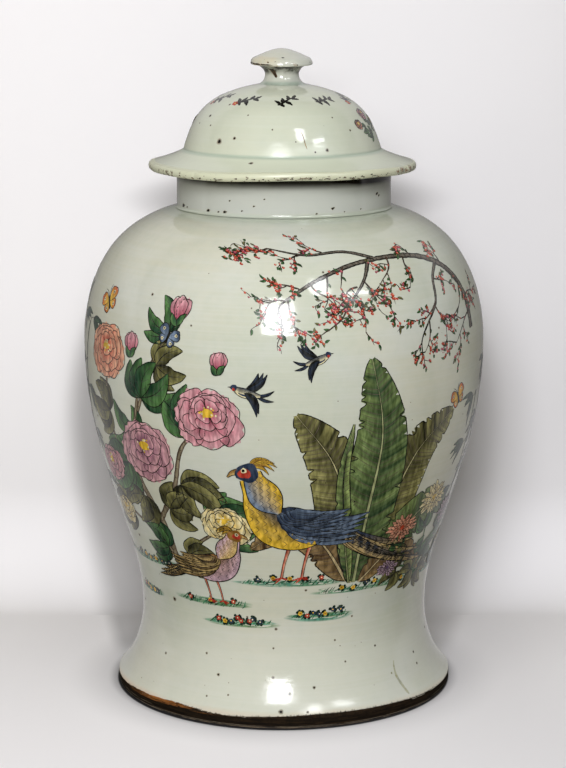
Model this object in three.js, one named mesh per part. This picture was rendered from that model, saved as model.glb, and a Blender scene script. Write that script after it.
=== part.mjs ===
// A covered baluster jar (potiche) of thrown, luted and glazed stoneware.
// Millimetres, +Z up. The origin is the centre of the foot, on the surface that the jar stands on.
import * as THREE from "three";

// Driving dimensions of the jar, from the foot up
const footRadius = 122;
const footBandHeight = 7;
const footRingWidth = 11;
const footBevel = 1;
const recessDepth = 9;
const baseThickness = 11;
const floorCornerRadius = 12;
const waistRadius = 103.6;
const waistHeight = 57;
const bellyRadius = 144.2;
const bellyRise = 195;
const shoulderRise = 96;
const neckRadius = 76.2;
const neckHeight = 28;
const bodyWall = 8;
const neckWall = 9;
const rimRounding = 1.5;

// Driving dimensions of the cover, from its seat on the rim up
const flangeClearance = 2.5;
const flangeWall = 7;
const flangeDepth = 14;
const flangeBevel = 1.5;
const brimOverhang = 19;
const brimEdgeThickness = 4.4;
const brimRise = 8.4;
const domeInset = 6.5;
const domeRise = 45.6;
const coverWall = 7;
const knobFootRadius = 15.4;
const knobStemRadius = 11.7;
const knobStemHeight = 12;
const knobRadius = 22.2;
const knobUndersideRise = 2.8;
const knobEdgeThickness = 5;
const knobEdgeRounding = 1.6;
const knobCapRise = 5.8;

// Where the thrown sections are luted together, along the curve that each joint lies on
const waistJointShare = 0.5;
const shoulderJointShare = 0.36;

// How finely the round surfaces are cut
const turnSteps = 64;
const knobTurnSteps = 40;
const flareSteps = 6;
const bodySteps = 5;
const shoulderSteps = 8;
const brimSteps = 6;
const domeSteps = 9;
const edgeSteps = 4;
const cornerSteps = 3;

// Heights and radii that follow from the sizes above
const floorHeight = recessDepth + baseThickness;
const recessRadius = footRadius - footRingWidth;
const bellyHeight = waistHeight + bellyRise;
const neckBaseHeight = bellyHeight + shoulderRise;
const rimHeight = neckBaseHeight + neckHeight;
const neckBore = neckRadius - neckWall;
const flangeRadius = neckBore - flangeClearance;
const flangeBore = flangeRadius - flangeWall;
const brimRadius = neckRadius + brimOverhang;
const brimTopHeight = rimHeight + brimEdgeThickness;
const domeRadius = neckRadius - domeInset;
const domeBaseHeight = brimTopHeight + brimRise;
const domeTopHeight = domeBaseHeight + domeRise;
const knobUndersideHeight = domeTopHeight + knobStemHeight;
const knobEdgeHeight = knobUndersideHeight + knobUndersideRise;
const knobCapHeight = knobEdgeHeight + knobEdgeThickness;

const point = (radius, height) => new THREE.Vector2(radius, height);

// A smooth curve between two points. Each control point is given as shares of the curve's own
// width and height, both counted from its start.
function sweep(start, end, firstShares, secondShares) {
  const size = end.clone().sub(start);
  const control = (shares) => start.clone().add(size.clone().multiply(point(...shares)));
  return new THREE.CubicBezierCurve(start, control(firstShares), control(secondShares), end);
}

// Points of a curve from one share of it to another
function stretch(curve, from, to, steps) {
  const shares = Array.from({ length: steps + 1 }, (_, i) => from + ((to - from) * i) / steps);
  return shares.map((share) => curve.getPoint(share));
}

// The same points moved level towards the axis, in the opposite order
function innerWall(points, wall) {
  return points.map((p) => point(p.x - wall, p.y)).reverse();
}

// Points one wall thickness in from the curve, square to it, in the opposite order
function innerSkin(curve, from, to, steps, wall) {
  const shares = Array.from({ length: steps + 1 }, (_, i) => from + ((to - from) * i) / steps);
  const inward = (share) => {
    const along = curve.getTangent(share);
    return curve.getPoint(share).sub(point(along.y, -along.x).multiplyScalar(wall));
  };
  return shares.map(inward).reverse();
}

// Points of an arc about a centre, by angle from level
function arc(centre, radius, fromAngle, toAngle, steps) {
  const angles = Array.from({ length: steps + 1 }, (_, i) => fromAngle + ((toAngle - fromAngle) * i) / steps);
  return angles.map((angle) => centre.clone().add(point(Math.cos(angle), Math.sin(angle)).multiplyScalar(radius)));
}

// The turned outline of the jar: foot to waist, waist to belly, belly to neck
const flareShares = [[0.4, 0.12], [1, 0.52]];
const waistShares = [[0, 0.31], [1, 0.545]];
const shoulderShares = [[0, 0.55], [0.38, 0.9]];
const footTop = point(footRadius, footBandHeight);
const waist = point(waistRadius, waistHeight);
const belly = point(bellyRadius, bellyHeight);
const neckBase = point(neckRadius, neckBaseHeight);
const footFlare = sweep(footTop, waist, ...flareShares);
const waistToBelly = sweep(waist, belly, ...waistShares);
const bellyToNeck = sweep(belly, neckBase, ...shoulderShares);

// A solid of revolution about +Z from an outline in radius and height
function turned(name, outline, material, steps = turnSteps) {
  const geometry = new THREE.LatheGeometry(outline, steps);
  geometry.rotateX(Math.PI / 2);
  const mesh = new THREE.Mesh(geometry, material);
  mesh.name = name;
  return mesh;
}

// A ring's outline ends where it starts
const closed = (points) => [...points, points[0].clone()];

// Pale grey-green glaze over stoneware, one material for each piece
function glaze(color) {
  return new THREE.MeshStandardMaterial({ color, roughness: 0.22, metalness: 0 });
}

// Foot ring, recessed base, flared foot, waist and lower belly, thrown as one
function lowerSection() {
  const underside = [
    point(0, recessDepth),
    point(recessRadius, recessDepth),
    point(recessRadius, footBevel),
    point(recessRadius + footBevel, 0),
    point(footRadius - footBevel, 0),
    point(footRadius, footBevel),
  ];
  const flare = stretch(footFlare, 0, 1, flareSteps);
  const lowerBelly = stretch(waistToBelly, 0, waistJointShare, bodySteps).slice(1);
  const cornerTop = floorHeight + floorCornerRadius;
  const inside = innerWall([...flare, ...lowerBelly], bodyWall).filter((p) => p.y > cornerTop);
  const cornerCentre = point(inside.at(-1).x - floorCornerRadius, cornerTop);
  const corner = arc(cornerCentre, floorCornerRadius, 0, -Math.PI / 2, cornerSteps);
  const outline = [...underside, ...flare, ...lowerBelly, ...inside, ...corner, point(0, floorHeight)];
  return turned("jar_lower_section", outline, glaze(0xb9bfae));
}

// The widest ring, from the waist joint to the shoulder joint
function bellySection() {
  const lower = stretch(waistToBelly, waistJointShare, 1, bodySteps);
  const upper = stretch(bellyToNeck, 0, shoulderJointShare, bodySteps).slice(1);
  const outside = [...lower, ...upper];
  const outline = closed([...outside, ...innerWall(outside, bodyWall)]);
  return turned("jar_belly_section", outline, glaze(0xb3bfab));
}

// The round shoulder, with a flat ring on top for the neck
function shoulderSection() {
  const outside = stretch(bellyToNeck, shoulderJointShare, 1, shoulderSteps);
  const joint = outside[0];
  const skin = innerSkin(bellyToNeck, shoulderJointShare, 1, shoulderSteps, bodyWall);
  const inside = skin.filter((p) => p.y > joint.y && p.x > neckBore && p.x < joint.x - bodyWall);
  const outline = closed([
    ...outside,
    point(neckBore, neckBaseHeight),
    point(neckBore, inside[0].y),
    ...inside,
    point(joint.x - bodyWall, joint.y),
  ]);
  return turned("jar_shoulder_section", outline, glaze(0xbfc5b2));
}

// The upright collar that the cover sits on, with its edges rounded
function neckCollar() {
  const outline = closed([
    point(neckBore, neckBaseHeight),
    neckBase,
    point(neckRadius, rimHeight - rimRounding),
    point(neckRadius - rimRounding, rimHeight),
    point(neckBore + rimRounding, rimHeight),
    point(neckBore, rimHeight - rimRounding),
  ]);
  return turned("jar_neck_collar", outline, glaze(0xc6cac0));
}

// Brim and dome in one, flat beneath where it rests on the rim and open up into the dome
function coverShell() {
  const brimShares = [[0.12, 0.22], [0.66, 0.64]];
  const domeShares = [[0.1, 0.53], [0.24, 0.84]];
  const lipRadius = brimEdgeThickness / 2;
  const lip = arc(point(brimRadius - lipRadius, rimHeight + lipRadius), lipRadius, -Math.PI / 2, Math.PI / 2, edgeSteps);
  const domeBase = point(domeRadius, domeBaseHeight);
  const domeTop = point(knobFootRadius, domeTopHeight);
  const brim = stretch(sweep(lip.at(-1), domeBase, ...brimShares), 0, 1, brimSteps).slice(1);
  const domeCurve = sweep(domeBase, domeTop, ...domeShares);
  const dome = stretch(domeCurve, 0, 1, domeSteps).slice(1);
  const apex = point(0, domeTopHeight - coverWall);
  const vault = innerSkin(domeCurve, 0, 1, domeSteps, coverWall).filter((p) => p.x < flangeBore && p.y < apex.y);
  const throat = [point(flangeBore, vault.at(-1).y), point(flangeBore, rimHeight)];
  const outline = [apex, ...vault, ...throat, ...lip, ...brim, ...dome, point(0, domeTopHeight)];
  return turned("cover_shell", outline, glaze(0xcdd0c2));
}

// The ring luted beneath the cover, which drops into the neck and keeps the cover in place
function locatingFlange() {
  const bottom = rimHeight - flangeDepth;
  const outline = closed([
    point(flangeBore, rimHeight),
    point(flangeBore, bottom + flangeBevel),
    point(flangeBore + flangeBevel, bottom),
    point(flangeRadius - flangeBevel, bottom),
    point(flangeRadius, bottom + flangeBevel),
    point(flangeRadius, rimHeight),
  ]);
  return turned("cover_locating_flange", outline, glaze(0xb8a68c));
}

// The mushroom knob: a waisted stem under a low cap with a rounded edge
function coverKnob() {
  const hollow = (4 * knobStemRadius - knobFootRadius) / 3;
  const stem = new THREE.CubicBezierCurve(
    point(knobFootRadius, domeTopHeight),
    point(hollow, domeTopHeight + knobStemHeight / 4),
    point(hollow, knobUndersideHeight - knobStemHeight / 4),
    point(knobFootRadius, knobUndersideHeight),
  );
  const inner = knobRadius - knobEdgeRounding;
  const edge = [
    point(inner, knobEdgeHeight),
    point(knobRadius, knobEdgeHeight + knobEdgeRounding),
    point(knobRadius, knobCapHeight - knobEdgeRounding),
  ];
  const capShares = [[0.35, 0.45], [0.7, 1]];
  const cap = sweep(point(inner, knobCapHeight), point(0, knobCapHeight + knobCapRise), ...capShares);
  const outline = [
    point(0, domeTopHeight),
    ...stretch(stem, 0, 1, 2 * edgeSteps),
    ...edge,
    ...stretch(cap, 0, 1, edgeSteps),
  ];
  return turned("cover_knob", outline, glaze(0xc9cbbd), knobTurnSteps);
}

const jar = new THREE.Group();
jar.add(lowerSection(), bellySection(), shoulderSection(), neckCollar());

const cover = new THREE.Group();
cover.add(coverShell(), locatingFlange(), coverKnob());

const potiche = new THREE.Group();
potiche.add(jar, cover);
export default potiche;
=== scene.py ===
import math

import bpy
import numpy as np
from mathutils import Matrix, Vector


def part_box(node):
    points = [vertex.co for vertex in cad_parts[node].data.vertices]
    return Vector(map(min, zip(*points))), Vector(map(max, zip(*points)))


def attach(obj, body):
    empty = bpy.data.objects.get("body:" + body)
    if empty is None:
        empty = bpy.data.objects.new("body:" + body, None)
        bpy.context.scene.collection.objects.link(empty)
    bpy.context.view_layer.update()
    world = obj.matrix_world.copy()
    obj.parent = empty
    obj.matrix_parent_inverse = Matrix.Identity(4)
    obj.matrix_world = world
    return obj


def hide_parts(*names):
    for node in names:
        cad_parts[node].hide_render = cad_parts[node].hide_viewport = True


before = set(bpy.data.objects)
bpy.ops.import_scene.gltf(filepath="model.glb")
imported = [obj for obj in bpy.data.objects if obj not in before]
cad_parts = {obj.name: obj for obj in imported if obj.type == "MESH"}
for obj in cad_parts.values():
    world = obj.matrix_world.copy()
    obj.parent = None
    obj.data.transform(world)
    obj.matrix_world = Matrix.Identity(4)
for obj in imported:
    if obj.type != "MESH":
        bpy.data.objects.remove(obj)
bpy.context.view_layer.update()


# Viewpoint
# The photograph looks slightly down on the jar from a little above its knob, with the turning
# axis close to the middle of the frame.
LONG_SIDE_PX = 768
FOCAL_PX = 2212.4
EYE_HEIGHT = 0.5349
EYE_DISTANCE = 1.5711
EYE_SHIFT = -0.0006
LOOK_DOWN = 0.199
FILM_WIDTH_MM = 36

eye = bpy.data.objects.new("eye", bpy.data.cameras.new("eye"))
bpy.context.scene.collection.objects.link(eye)
bpy.context.scene.camera = eye
eye.data.sensor_width = FILM_WIDTH_MM
eye.data.lens = FILM_WIDTH_MM * FOCAL_PX / LONG_SIDE_PX
eye.location = (EYE_SHIFT, -EYE_DISTANCE, EYE_HEIGHT)
eye.rotation_euler = (math.pi / 2 - LOOK_DOWN, 0, 0)


# Lower section of the jar
# Thrown stoneware from the foot ring to below the belly, its base cut back inside the ring.
# The glaze stops in a ragged line above the foot, and the bare clay below has burnt dark brown.
FOOT_RADIUS = 0.122
FOOT_BAND_HEIGHT = 0.007
FOOT_RING_WIDTH = 0.011
FOOT_BEVEL = 0.0012
RECESS_DEPTH = 0.009
RECESS_FILLET = 0.003
FLOOR_HEIGHT = 0.020
FLOOR_CORNER = 0.012
WAIST_RADIUS = 0.1036
WAIST_HEIGHT = 0.057
BELLY_RISE = 0.195
BELLY_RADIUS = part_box("jar_belly_section")[1].x
BELLY_HEIGHT = WAIST_HEIGHT + BELLY_RISE
FLARE_SHARES = (0.4, 0.12), (1, 0.52)
WAIST_SHARES = (0, 0.31), (1, 0.545)
WAIST_JOINT_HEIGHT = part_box("jar_lower_section")[1].z
SHOULDER_JOINT_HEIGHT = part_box("jar_belly_section")[1].z
WALL = 0.008
FIRED_SPARE = 0.0008
TURNS = 288
ROW = 0.0024
INNER_ROW = 0.006


def sweep(start, end, first_shares, second_shares):
    """A smooth outline stretch as a function of 0 to 1. Controls are shares of its width and height."""
    start, end = np.array(start, float), np.array(end, float)
    first = start + (end - start) * first_shares
    second = start + (end - start) * second_shares

    def at(t):
        t = np.asarray(t, float)[:, None]
        u = 1 - t
        place = u**3 * start + 3 * u * u * t * first + 3 * u * t * t * second + t**3 * end
        along = 3 * u * u * (first - start) + 6 * u * t * (second - first) + 3 * t * t * (end - second)
        return place, along / np.linalg.norm(along, axis=1)[:, None]

    return at


def run(curve, low=0.0, high=1.0, row=ROW):
    """Rows along a curve between two shares of it: places and directions, a row apart."""
    fine, _ = curve(np.linspace(low, high, 200))
    count = max(2, round(np.linalg.norm(np.diff(fine, axis=0), axis=1).sum() / row) + 1)
    return curve(np.linspace(low, high, count))


def line(*points, row=INNER_ROW):
    """A straight run through points, with rows close enough to take the wobble."""
    places = [np.array([points[0]], float)]
    for a, b in zip(points, points[1:]):
        a, b = np.array(a, float), np.array(b, float)
        count = max(1, math.ceil(np.linalg.norm(b - a) / row))
        places.append(a + (b - a) * np.linspace(0, 1, count + 1)[1:, None])
    places = np.concatenate(places)
    along = np.gradient(places, axis=0)
    return places, along / np.linalg.norm(along, axis=1)[:, None]


def arc(centre, radius, from_degrees, to_degrees, steps=8, rise=None):
    """A run round a centre in radius and height, by angle from level. A rise makes it oval."""
    a = np.radians(np.linspace(from_degrees, to_degrees, steps + 1))
    reach = np.array([radius, radius if rise is None else rise])
    places = np.array(centre) + reach * np.column_stack([np.cos(a), np.sin(a)])
    along = reach * np.column_stack([-np.sin(a), np.cos(a)]) * (1 if to_degrees > from_degrees else -1)
    return places, along / np.linalg.norm(along, axis=1)[:, None]


def inside(curve_run, wall):
    """The same run seen from within: moved level towards the axis and in the opposite order."""
    places, along = curve_run
    return (places - [wall, 0])[::-1], -along[::-1]


def height_share(curve, height):
    """How far along a rising curve a height lies."""
    shares = np.linspace(0, 1, 2001)
    return float(np.interp(height, curve(shares)[0][:, 1], shares))


def jar_wobble(turn, radius, height):
    """Where a point of the true turned form lies on the fired jar: a little out of round, ribbed by the
    wheel, with a dip at each luted joint, and drawn in a little where it is widest."""
    oval = 1 + 0.0012 * np.cos(2 * turn + 0.7) + 0.0006 * np.cos(3 * turn + 2.1)
    ribs = 0.00004 * np.sin(2 * math.pi * height / 0.0131 + 0.8 * np.sin(turn))
    ribs = ribs + 0.00005 * np.sin(2 * math.pi * height / 0.0289 + 1.3 + 0.7 * np.cos(2 * turn))
    seam = 0.00006 * np.exp(-(((height - SHOULDER_JOINT_HEIGHT) / 0.0013) ** 2))
    seam = seam + 0.00008 * np.exp(-(((height - WAIST_JOINT_HEIGHT) / 0.0016) ** 2))
    spare = FIRED_SPARE * np.clip((radius - 0.118) / 0.02, 0, 1)
    out = (radius - spare) * oval + (ribs - seam) * np.clip(radius / 0.06, 0, 1)
    out = np.where(radius > 0, out, 0)
    return np.stack([out * np.sin(turn), -out * np.cos(turn), height + 0 * turn], axis=-1)


def thrown(name, runs, wobble, turns=TURNS):
    """A closed turned solid from the runs of its outline, with crisp edges where runs meet."""
    turn = np.arange(turns) * 2 * math.pi / turns

    def spun(places, shift=0.0):
        return wobble(turn[None, :] + shift, places[:, :1], places[:, 1:])

    places = np.concatenate([runs[0][0][:1]] + [run_places[1:] for run_places, _ in runs])
    ring = np.allclose(places[0], places[-1], atol=1e-7)
    places = places[:-1] if ring else places
    on_axis = places[:, 0] < 1e-9
    numbers, vertices = np.zeros((len(places), turns), int), []
    for i, row in enumerate(spun(places)):
        numbers[i] = len(vertices) + (0 if on_axis[i] else np.arange(turns))
        vertices.extend(row[:1] if on_axis[i] else row)
    step = 1e-5
    faces, normals, at = [], [], 0
    for run_places, along in runs:
        level = spun(run_places, step) - spun(run_places, -step)
        up = spun(run_places + step * along) - spun(run_places - step * along)
        facing = np.cross(level, up)
        length = np.linalg.norm(facing, axis=2, keepdims=True)
        lean, climb = along[:, None, 0], along[:, None, 1]
        plain = np.stack([climb * np.sin(turn), -climb * np.cos(turn), -lean + 0 * turn], -1)
        facing = np.where(length > 1e-14, facing / np.maximum(length, 1e-14), plain)
        for i in range(len(run_places) - 1):
            low, high = numbers[(at + i) % len(places)], numbers[(at + i + 1) % len(places)]
            for j in range(turns):
                k = (j + 1) % turns
                corners = [(low[j], i, j), (low[k], i, k), (high[k], i + 1, k), (high[j], i + 1, j)]
                if low[j] == low[k]:
                    del corners[1]
                if high[j] == high[k]:
                    del corners[-1]
                faces.append([c[0] for c in corners])
                normals.extend(facing[c[1], c[2]] for c in corners)
        at += len(run_places) - 1
    mesh = bpy.data.meshes.new(name)
    mesh.from_pydata([tuple(v) for v in vertices], [], faces)
    mesh.polygons.foreach_set("use_smooth", [True] * len(faces))
    mesh.normals_split_custom_set([tuple(n) for n in normals])
    piece = bpy.data.objects.new(name, mesh)
    bpy.context.scene.collection.objects.link(piece)
    return piece


class Value:
    """A number or colour on its way through a finish's nodes, with plain arithmetic."""

    def __init__(self, finish, socket):
        self.finish, self.socket = finish, socket

    def math(self, operation, *values):
        return self.finish.node("Math", {"operation": operation}, *values)

    def __add__(self, other):
        return self.math("ADD", self, other)

    def __sub__(self, other):
        return self.math("SUBTRACT", self, other)

    def __rsub__(self, other):
        return self.math("SUBTRACT", other, self)

    def __mul__(self, other):
        return self.math("MULTIPLY", self, other)

    def __truediv__(self, other):
        return self.math("DIVIDE", self, other)

    def __pow__(self, other):
        return self.math("POWER", self, other)

    def __lt__(self, other):
        return self.math("LESS_THAN", self, other)

    def __gt__(self, other):
        return self.math("GREATER_THAN", self, other)

    def __abs__(self):
        return self.math("ABSOLUTE", self)

    __radd__, __rmul__ = __add__, __mul__


class Finish:
    """One surface of the object: its colour, gloss and relief, worked out from nodes."""

    def __init__(self, name, **constants):
        self.material = bpy.data.materials.new(name)
        self.material.use_nodes = True
        self.tree = self.material.node_tree
        self.shader = self.tree.nodes["Principled BSDF"]
        self.feed(self.shader, constants)
        self.place = self.node("TexCoord", out="Object")
        self.x, self.y, self.z = self.node("SeparateXYZ", None, self.place, out=("X", "Y", "Z"))
        self.radius = (self.x * self.x + self.y * self.y) ** 0.5
        self.turn = self.x.math("ARCTAN2", self.x, self.y * -1)

    def feed(self, node, sockets):
        for key, value in sockets.items():
            socket = node.inputs[key if isinstance(key, int) else key.replace("_", " ")]
            if isinstance(value, Value):
                self.tree.links.new(value.socket, socket)
            else:
                socket.default_value = value

    def node(self, kind, settings=None, *values, out=None, **named):
        """Adds a node: its kind, its settings, which are set first, then its sockets' values or links."""
        made = self.tree.nodes.new("ShaderNode" + kind)
        settings = dict(settings or {})
        for place, (position, colour) in enumerate(settings.pop("stops", [])):
            stop = made.color_ramp.elements[place] if place < 2 else made.color_ramp.elements.new(position)
            stop.position, stop.color = position, (*colour, 1)
        for key, value in settings.items():
            setattr(made, key, value)
        self.feed(made, {**dict(enumerate(values)), **named})
        if isinstance(out, tuple):
            return [Value(self, made.outputs[name]) for name in out]
        shown = made.outputs[out] if out else next(o for o in made.outputs if o.enabled)
        return Value(self, shown)

    def mix(self, share, first, second):
        """A colour between two, by a share of the second."""
        made = self.tree.nodes.new("ShaderNodeMix")
        made.data_type = "RGBA"
        first, second = (c if isinstance(c, Value) else (*c, 1) for c in (first, second))
        self.feed(made, {0: share, 6: first, 7: second})
        return Value(self, made.outputs[2])

    def step(self, value, low, high):
        """Rises smoothly from 0 at low to 1 at high, and falls where low is above high."""
        return self.node("MapRange", {"interpolation_type": "SMOOTHSTEP"}, value, low, high)

    def band(self, value, low, full, fade, high):
        """Rises smoothly from low to full, and falls again from fade to high."""
        return self.step(value, low, full) * self.step(value, high, fade)

    def noise(self, scale, stretch=(1, 1, 1), shift=0.0, detail=2.0):
        """Even noise from 0 to 1, in cells of 1 / scale metres, stretched along an axis."""
        place = self.node("VectorMath", {"operation": "MULTIPLY"}, self.place, stretch)
        place = self.node("VectorMath", {"operation": "ADD"}, place, (shift, shift, shift))
        return self.node("TexNoise", None, out="Fac", Vector=place, Scale=scale, Detail=detail)

    def relief(self, height, depth):
        """Tilts the surface by a height of 0 to 1 times a depth in metres."""
        return self.node("Bump", None, out="Normal", Height=height, Distance=depth, Strength=1.0)

    def wear(self, piece):
        piece.data.materials.append(self.material)


GLAZE_GREEN = (0.520, 0.538, 0.440)
GLAZE_WARM = (0.560, 0.552, 0.448)
GLAZE_GREY = (0.590, 0.602, 0.560)
GLAZE_COOL = (0.560, 0.580, 0.550)
GLAZE_POOL = (0.330, 0.415, 0.335)
GLAZE_LIT_LOW = (0.680, 0.675, 0.600)
GLAZE_ROUGHNESS = 0.10
GLAZE_RELIEF = 0.00009
IRON = (0.050, 0.030, 0.018)
BARE_CLAY = (0.430, 0.320, 0.225)
FOOT_BROWN = (0.026, 0.015, 0.007)
FOOT_DARK = (0.004, 0.003, 0.002)
FOOT_RUST = (0.360, 0.130, 0.032)
FOOT_UMBER = (0.120, 0.082, 0.050)
HALO = (0.600, 0.430, 0.290)
GLAZE_EDGE = 0.0123
SIDE_DROP = 0.0052
FOOT_FACE = 0.1145


def glaze(finish):
    """The pale grey-green glaze: cloudy and mottled, faintly streaked by the wheel, with freckles."""
    cloud = finish.step(finish.noise(9, shift=3.1), 0.35, 0.65)
    colour = finish.mix(cloud, GLAZE_GREEN, GLAZE_WARM)
    cool = finish.step(finish.noise(14, stretch=(1, 1, 1.8), shift=7.7, detail=3), 0.42, 0.68)
    colour = finish.mix(cool * 0.5, colour, GLAZE_COOL)
    mottle = finish.step(finish.noise(170, shift=12.0, detail=3), 0.35, 0.75)
    colour = finish.mix(mottle * 0.12, colour, GLAZE_POOL)
    streak = finish.noise(60, stretch=(0.12, 0.12, 11), shift=1.7, detail=3)
    colour = finish.mix(finish.step(streak, 0.35, 0.75) * 0.30, colour, GLAZE_GREY)
    cells = finish.node("TexVoronoi", None, out="Distance", Vector=finish.place, Scale=95.0)
    rare = finish.step(finish.noise(31, shift=8.0), 0.60, 0.68)
    freckle = finish.step(cells, 0.055, 0.02) * rare
    return finish.mix(freckle * 0.8, colour, IRON)


def glaze_relief(finish):
    """Wheel lines under the glaze and its faint orange peel, as one height."""
    lines = finish.noise(60, stretch=(0.05, 0.05, 9), shift=5.2, detail=2)
    peel = finish.noise(230, shift=2.0, detail=1)
    return lines * 0.25 + peel * 0.75


def lower_finish():
    """Glaze down to its ragged edge, which hangs lower at the sides, and bare burnt clay below it."""
    finish = Finish("lower_section_glaze_and_bare_foot", Specular_IOR_Level=0.5)
    colour = glaze(finish)
    # Painted light: the glaze is made paler low down towards the foot, to light the waist and the flare.
    colour = finish.mix(finish.step(finish.z, 0.080, 0.045) * 0.36, colour, GLAZE_LIT_LOW)
    ragged = finish.noise(420, shift=4.0, detail=3) * 0.0022 + finish.noise(16, shift=6.0) * 0.0036
    ahead = abs(finish.turn.math("COSINE", finish.turn))
    edge = finish.z + ragged + (1 - ahead**0.45) * SIDE_DROP + 0.0019
    above = finish.step(edge, 0.0168, 0.0124)
    left = finish.band(finish.turn, -1.9, -1.4, -0.95, -0.55)
    colour = finish.mix(above * (left * 0.45 + 0.38), colour, HALO)
    rings = finish.noise(60, stretch=(0.04, 0.04, 34), shift=2.5, detail=2)
    grit = finish.noise(620, stretch=(1, 1, 0.6), shift=9.0, detail=3)
    brown = finish.mix(finish.step(rings * 0.6 + grit * 0.4, 0.44, 0.62), FOOT_DARK, FOOT_BROWN)
    # Painted shade: a dark line round the foot where a turned groove would hold shade. The form has no groove
    # there.
    groove = finish.band(finish.z, 0.0026, 0.0036, 0.0046, 0.0058)
    brown = finish.mix(groove * 0.85, brown, FOOT_DARK)
    ridge = finish.band(finish.z, 0.0012, 0.0018, 0.0023, 0.0030)
    brown = finish.mix(ridge * finish.step(grit, 0.35, 0.6) * 0.35, brown, FOOT_UMBER)
    patch = finish.band(finish.turn, -1.35, -1.05, -0.90, -0.62)
    rusty = finish.step(finish.noise(90, stretch=(0.3, 0.3, 2), shift=1.0, detail=4), 0.3, 0.7)
    brown = finish.mix(patch * rusty * finish.step(edge, 0.0085, 0.0110), brown, FOOT_RUST)
    rim = finish.step(edge, 0.0106, 0.0122)
    brown = finish.mix(rim * 0.6, brown, FOOT_UMBER)
    brown = finish.mix(rim * left * 0.8, brown, FOOT_RUST)
    outer = (finish.radius > FOOT_FACE) * (edge < GLAZE_EDGE)
    colour = finish.mix(outer, colour, brown)
    below = (finish.radius < FOOT_FACE + 0.0001) * (finish.z < RECESS_DEPTH + 0.0005)
    sole = (finish.z < 0.0009) * (finish.radius > 0.1)
    clay = finish.mix(finish.step(finish.noise(26, shift=7.0, detail=5), 0.35, 0.7), BARE_CLAY, FOOT_RUST)
    clay = finish.mix(finish.step(finish.radius, 0.098, 0.111) * 0.7, clay, FOOT_BROWN)
    colour = finish.mix(below, colour, clay)
    rubbed = finish.step(finish.noise(70, shift=2.2, detail=4), 0.35, 0.65)
    colour = finish.mix(sole * rubbed * 0.6, colour, BARE_CLAY)
    bare = 1 - (1 - outer) * (1 - below) * (1 - sole)
    height = glaze_relief(finish) * (1 - bare) + (rings * 3 + finish.noise(700, detail=2) * 1.5) * bare
    finish.feed(finish.shader, {
        "Base Color": colour,
        "Roughness": bare * 0.8 + finish.step(finish.z, 0.040, 0.018) * 0.07 + GLAZE_ROUGHNESS,
        "Normal": finish.relief(height, GLAZE_RELIEF),
    })
    return finish


belly = (BELLY_RADIUS, BELLY_HEIGHT)
waist = (WAIST_RADIUS, WAIST_HEIGHT)
foot_flare = sweep((FOOT_RADIUS, FOOT_BAND_HEIGHT), waist, *FLARE_SHARES)
waist_to_belly = sweep(waist, belly, *WAIST_SHARES)
waist_joint = height_share(waist_to_belly, WAIST_JOINT_HEIGHT)
recess_radius = FOOT_RADIUS - FOOT_RING_WIDTH

flare_rows = run(foot_flare)
lower_rows = run(waist_to_belly, 0, waist_joint)
outside_end = lower_rows[0][-1]
wall_rows = inside(run(waist_to_belly, 0, waist_joint, INNER_ROW), WALL)
flare_share = height_share(foot_flare, FLOOR_HEIGHT + FLOOR_CORNER)
flare_wall = inside(run(foot_flare, flare_share, 1, INNER_ROW), WALL)
corner_centre = flare_wall[0][-1] - [FLOOR_CORNER, 0]
jar_lower_section = thrown("jar_lower_section_fired", [
    line((0, RECESS_DEPTH), (recess_radius - RECESS_FILLET, RECESS_DEPTH), row=0.01),
    arc((recess_radius - RECESS_FILLET, RECESS_DEPTH - RECESS_FILLET), RECESS_FILLET, 90, 0, 4),
    line((recess_radius, RECESS_DEPTH - RECESS_FILLET), (recess_radius, FOOT_BEVEL)),
    arc((recess_radius + FOOT_BEVEL, FOOT_BEVEL), FOOT_BEVEL, 180, 270, 4),
    line((recess_radius + FOOT_BEVEL, 0), (FOOT_RADIUS - FOOT_BEVEL, 0), row=0.003),
    arc((FOOT_RADIUS - FOOT_BEVEL, FOOT_BEVEL), FOOT_BEVEL, -90, 0, 4),
    line((FOOT_RADIUS, FOOT_BEVEL), (FOOT_RADIUS, FOOT_BAND_HEIGHT), row=0.0015),
    flare_rows,
    lower_rows,
    line(outside_end, outside_end - [WALL, 0]),
    wall_rows,
    flare_wall,
    arc(corner_centre, FLOOR_CORNER, 0, -90, 6),
    line((corner_centre[0], FLOOR_HEIGHT), (0, FLOOR_HEIGHT), row=0.01),
], jar_wobble)
lower_finish().wear(jar_lower_section)
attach(jar_lower_section, "jar")
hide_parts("jar_lower_section")


# Belly section of the jar
# The widest ring, thrown apart and luted on with slip. The glaze hides the joints but for a
# faint level dip where the shoulder starts. Its glaze runs on over the shoulder and the neck, where
# the shade under the brim is painted into the glaze as a dark band, darkest on the right.
NECK_GREY = (0.500, 0.515, 0.480)
# Colour of the painted shade under the brim and under the knob's cap, with grime in it under the cap.
SHADE_AND_GRIME = (0.012, 0.010, 0.007)
NECK_FACE = 0.0745
SHOULDER_SHARES = (0, 0.55), (0.38, 0.9)


def wiped_clay(finish):
    """Clay from which the glaze was wiped off, burnt rusty in patches."""
    return finish.mix(finish.step(finish.noise(60, shift=3.0, detail=4), 0.4, 0.7), BARE_CLAY, FOOT_RUST)


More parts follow.
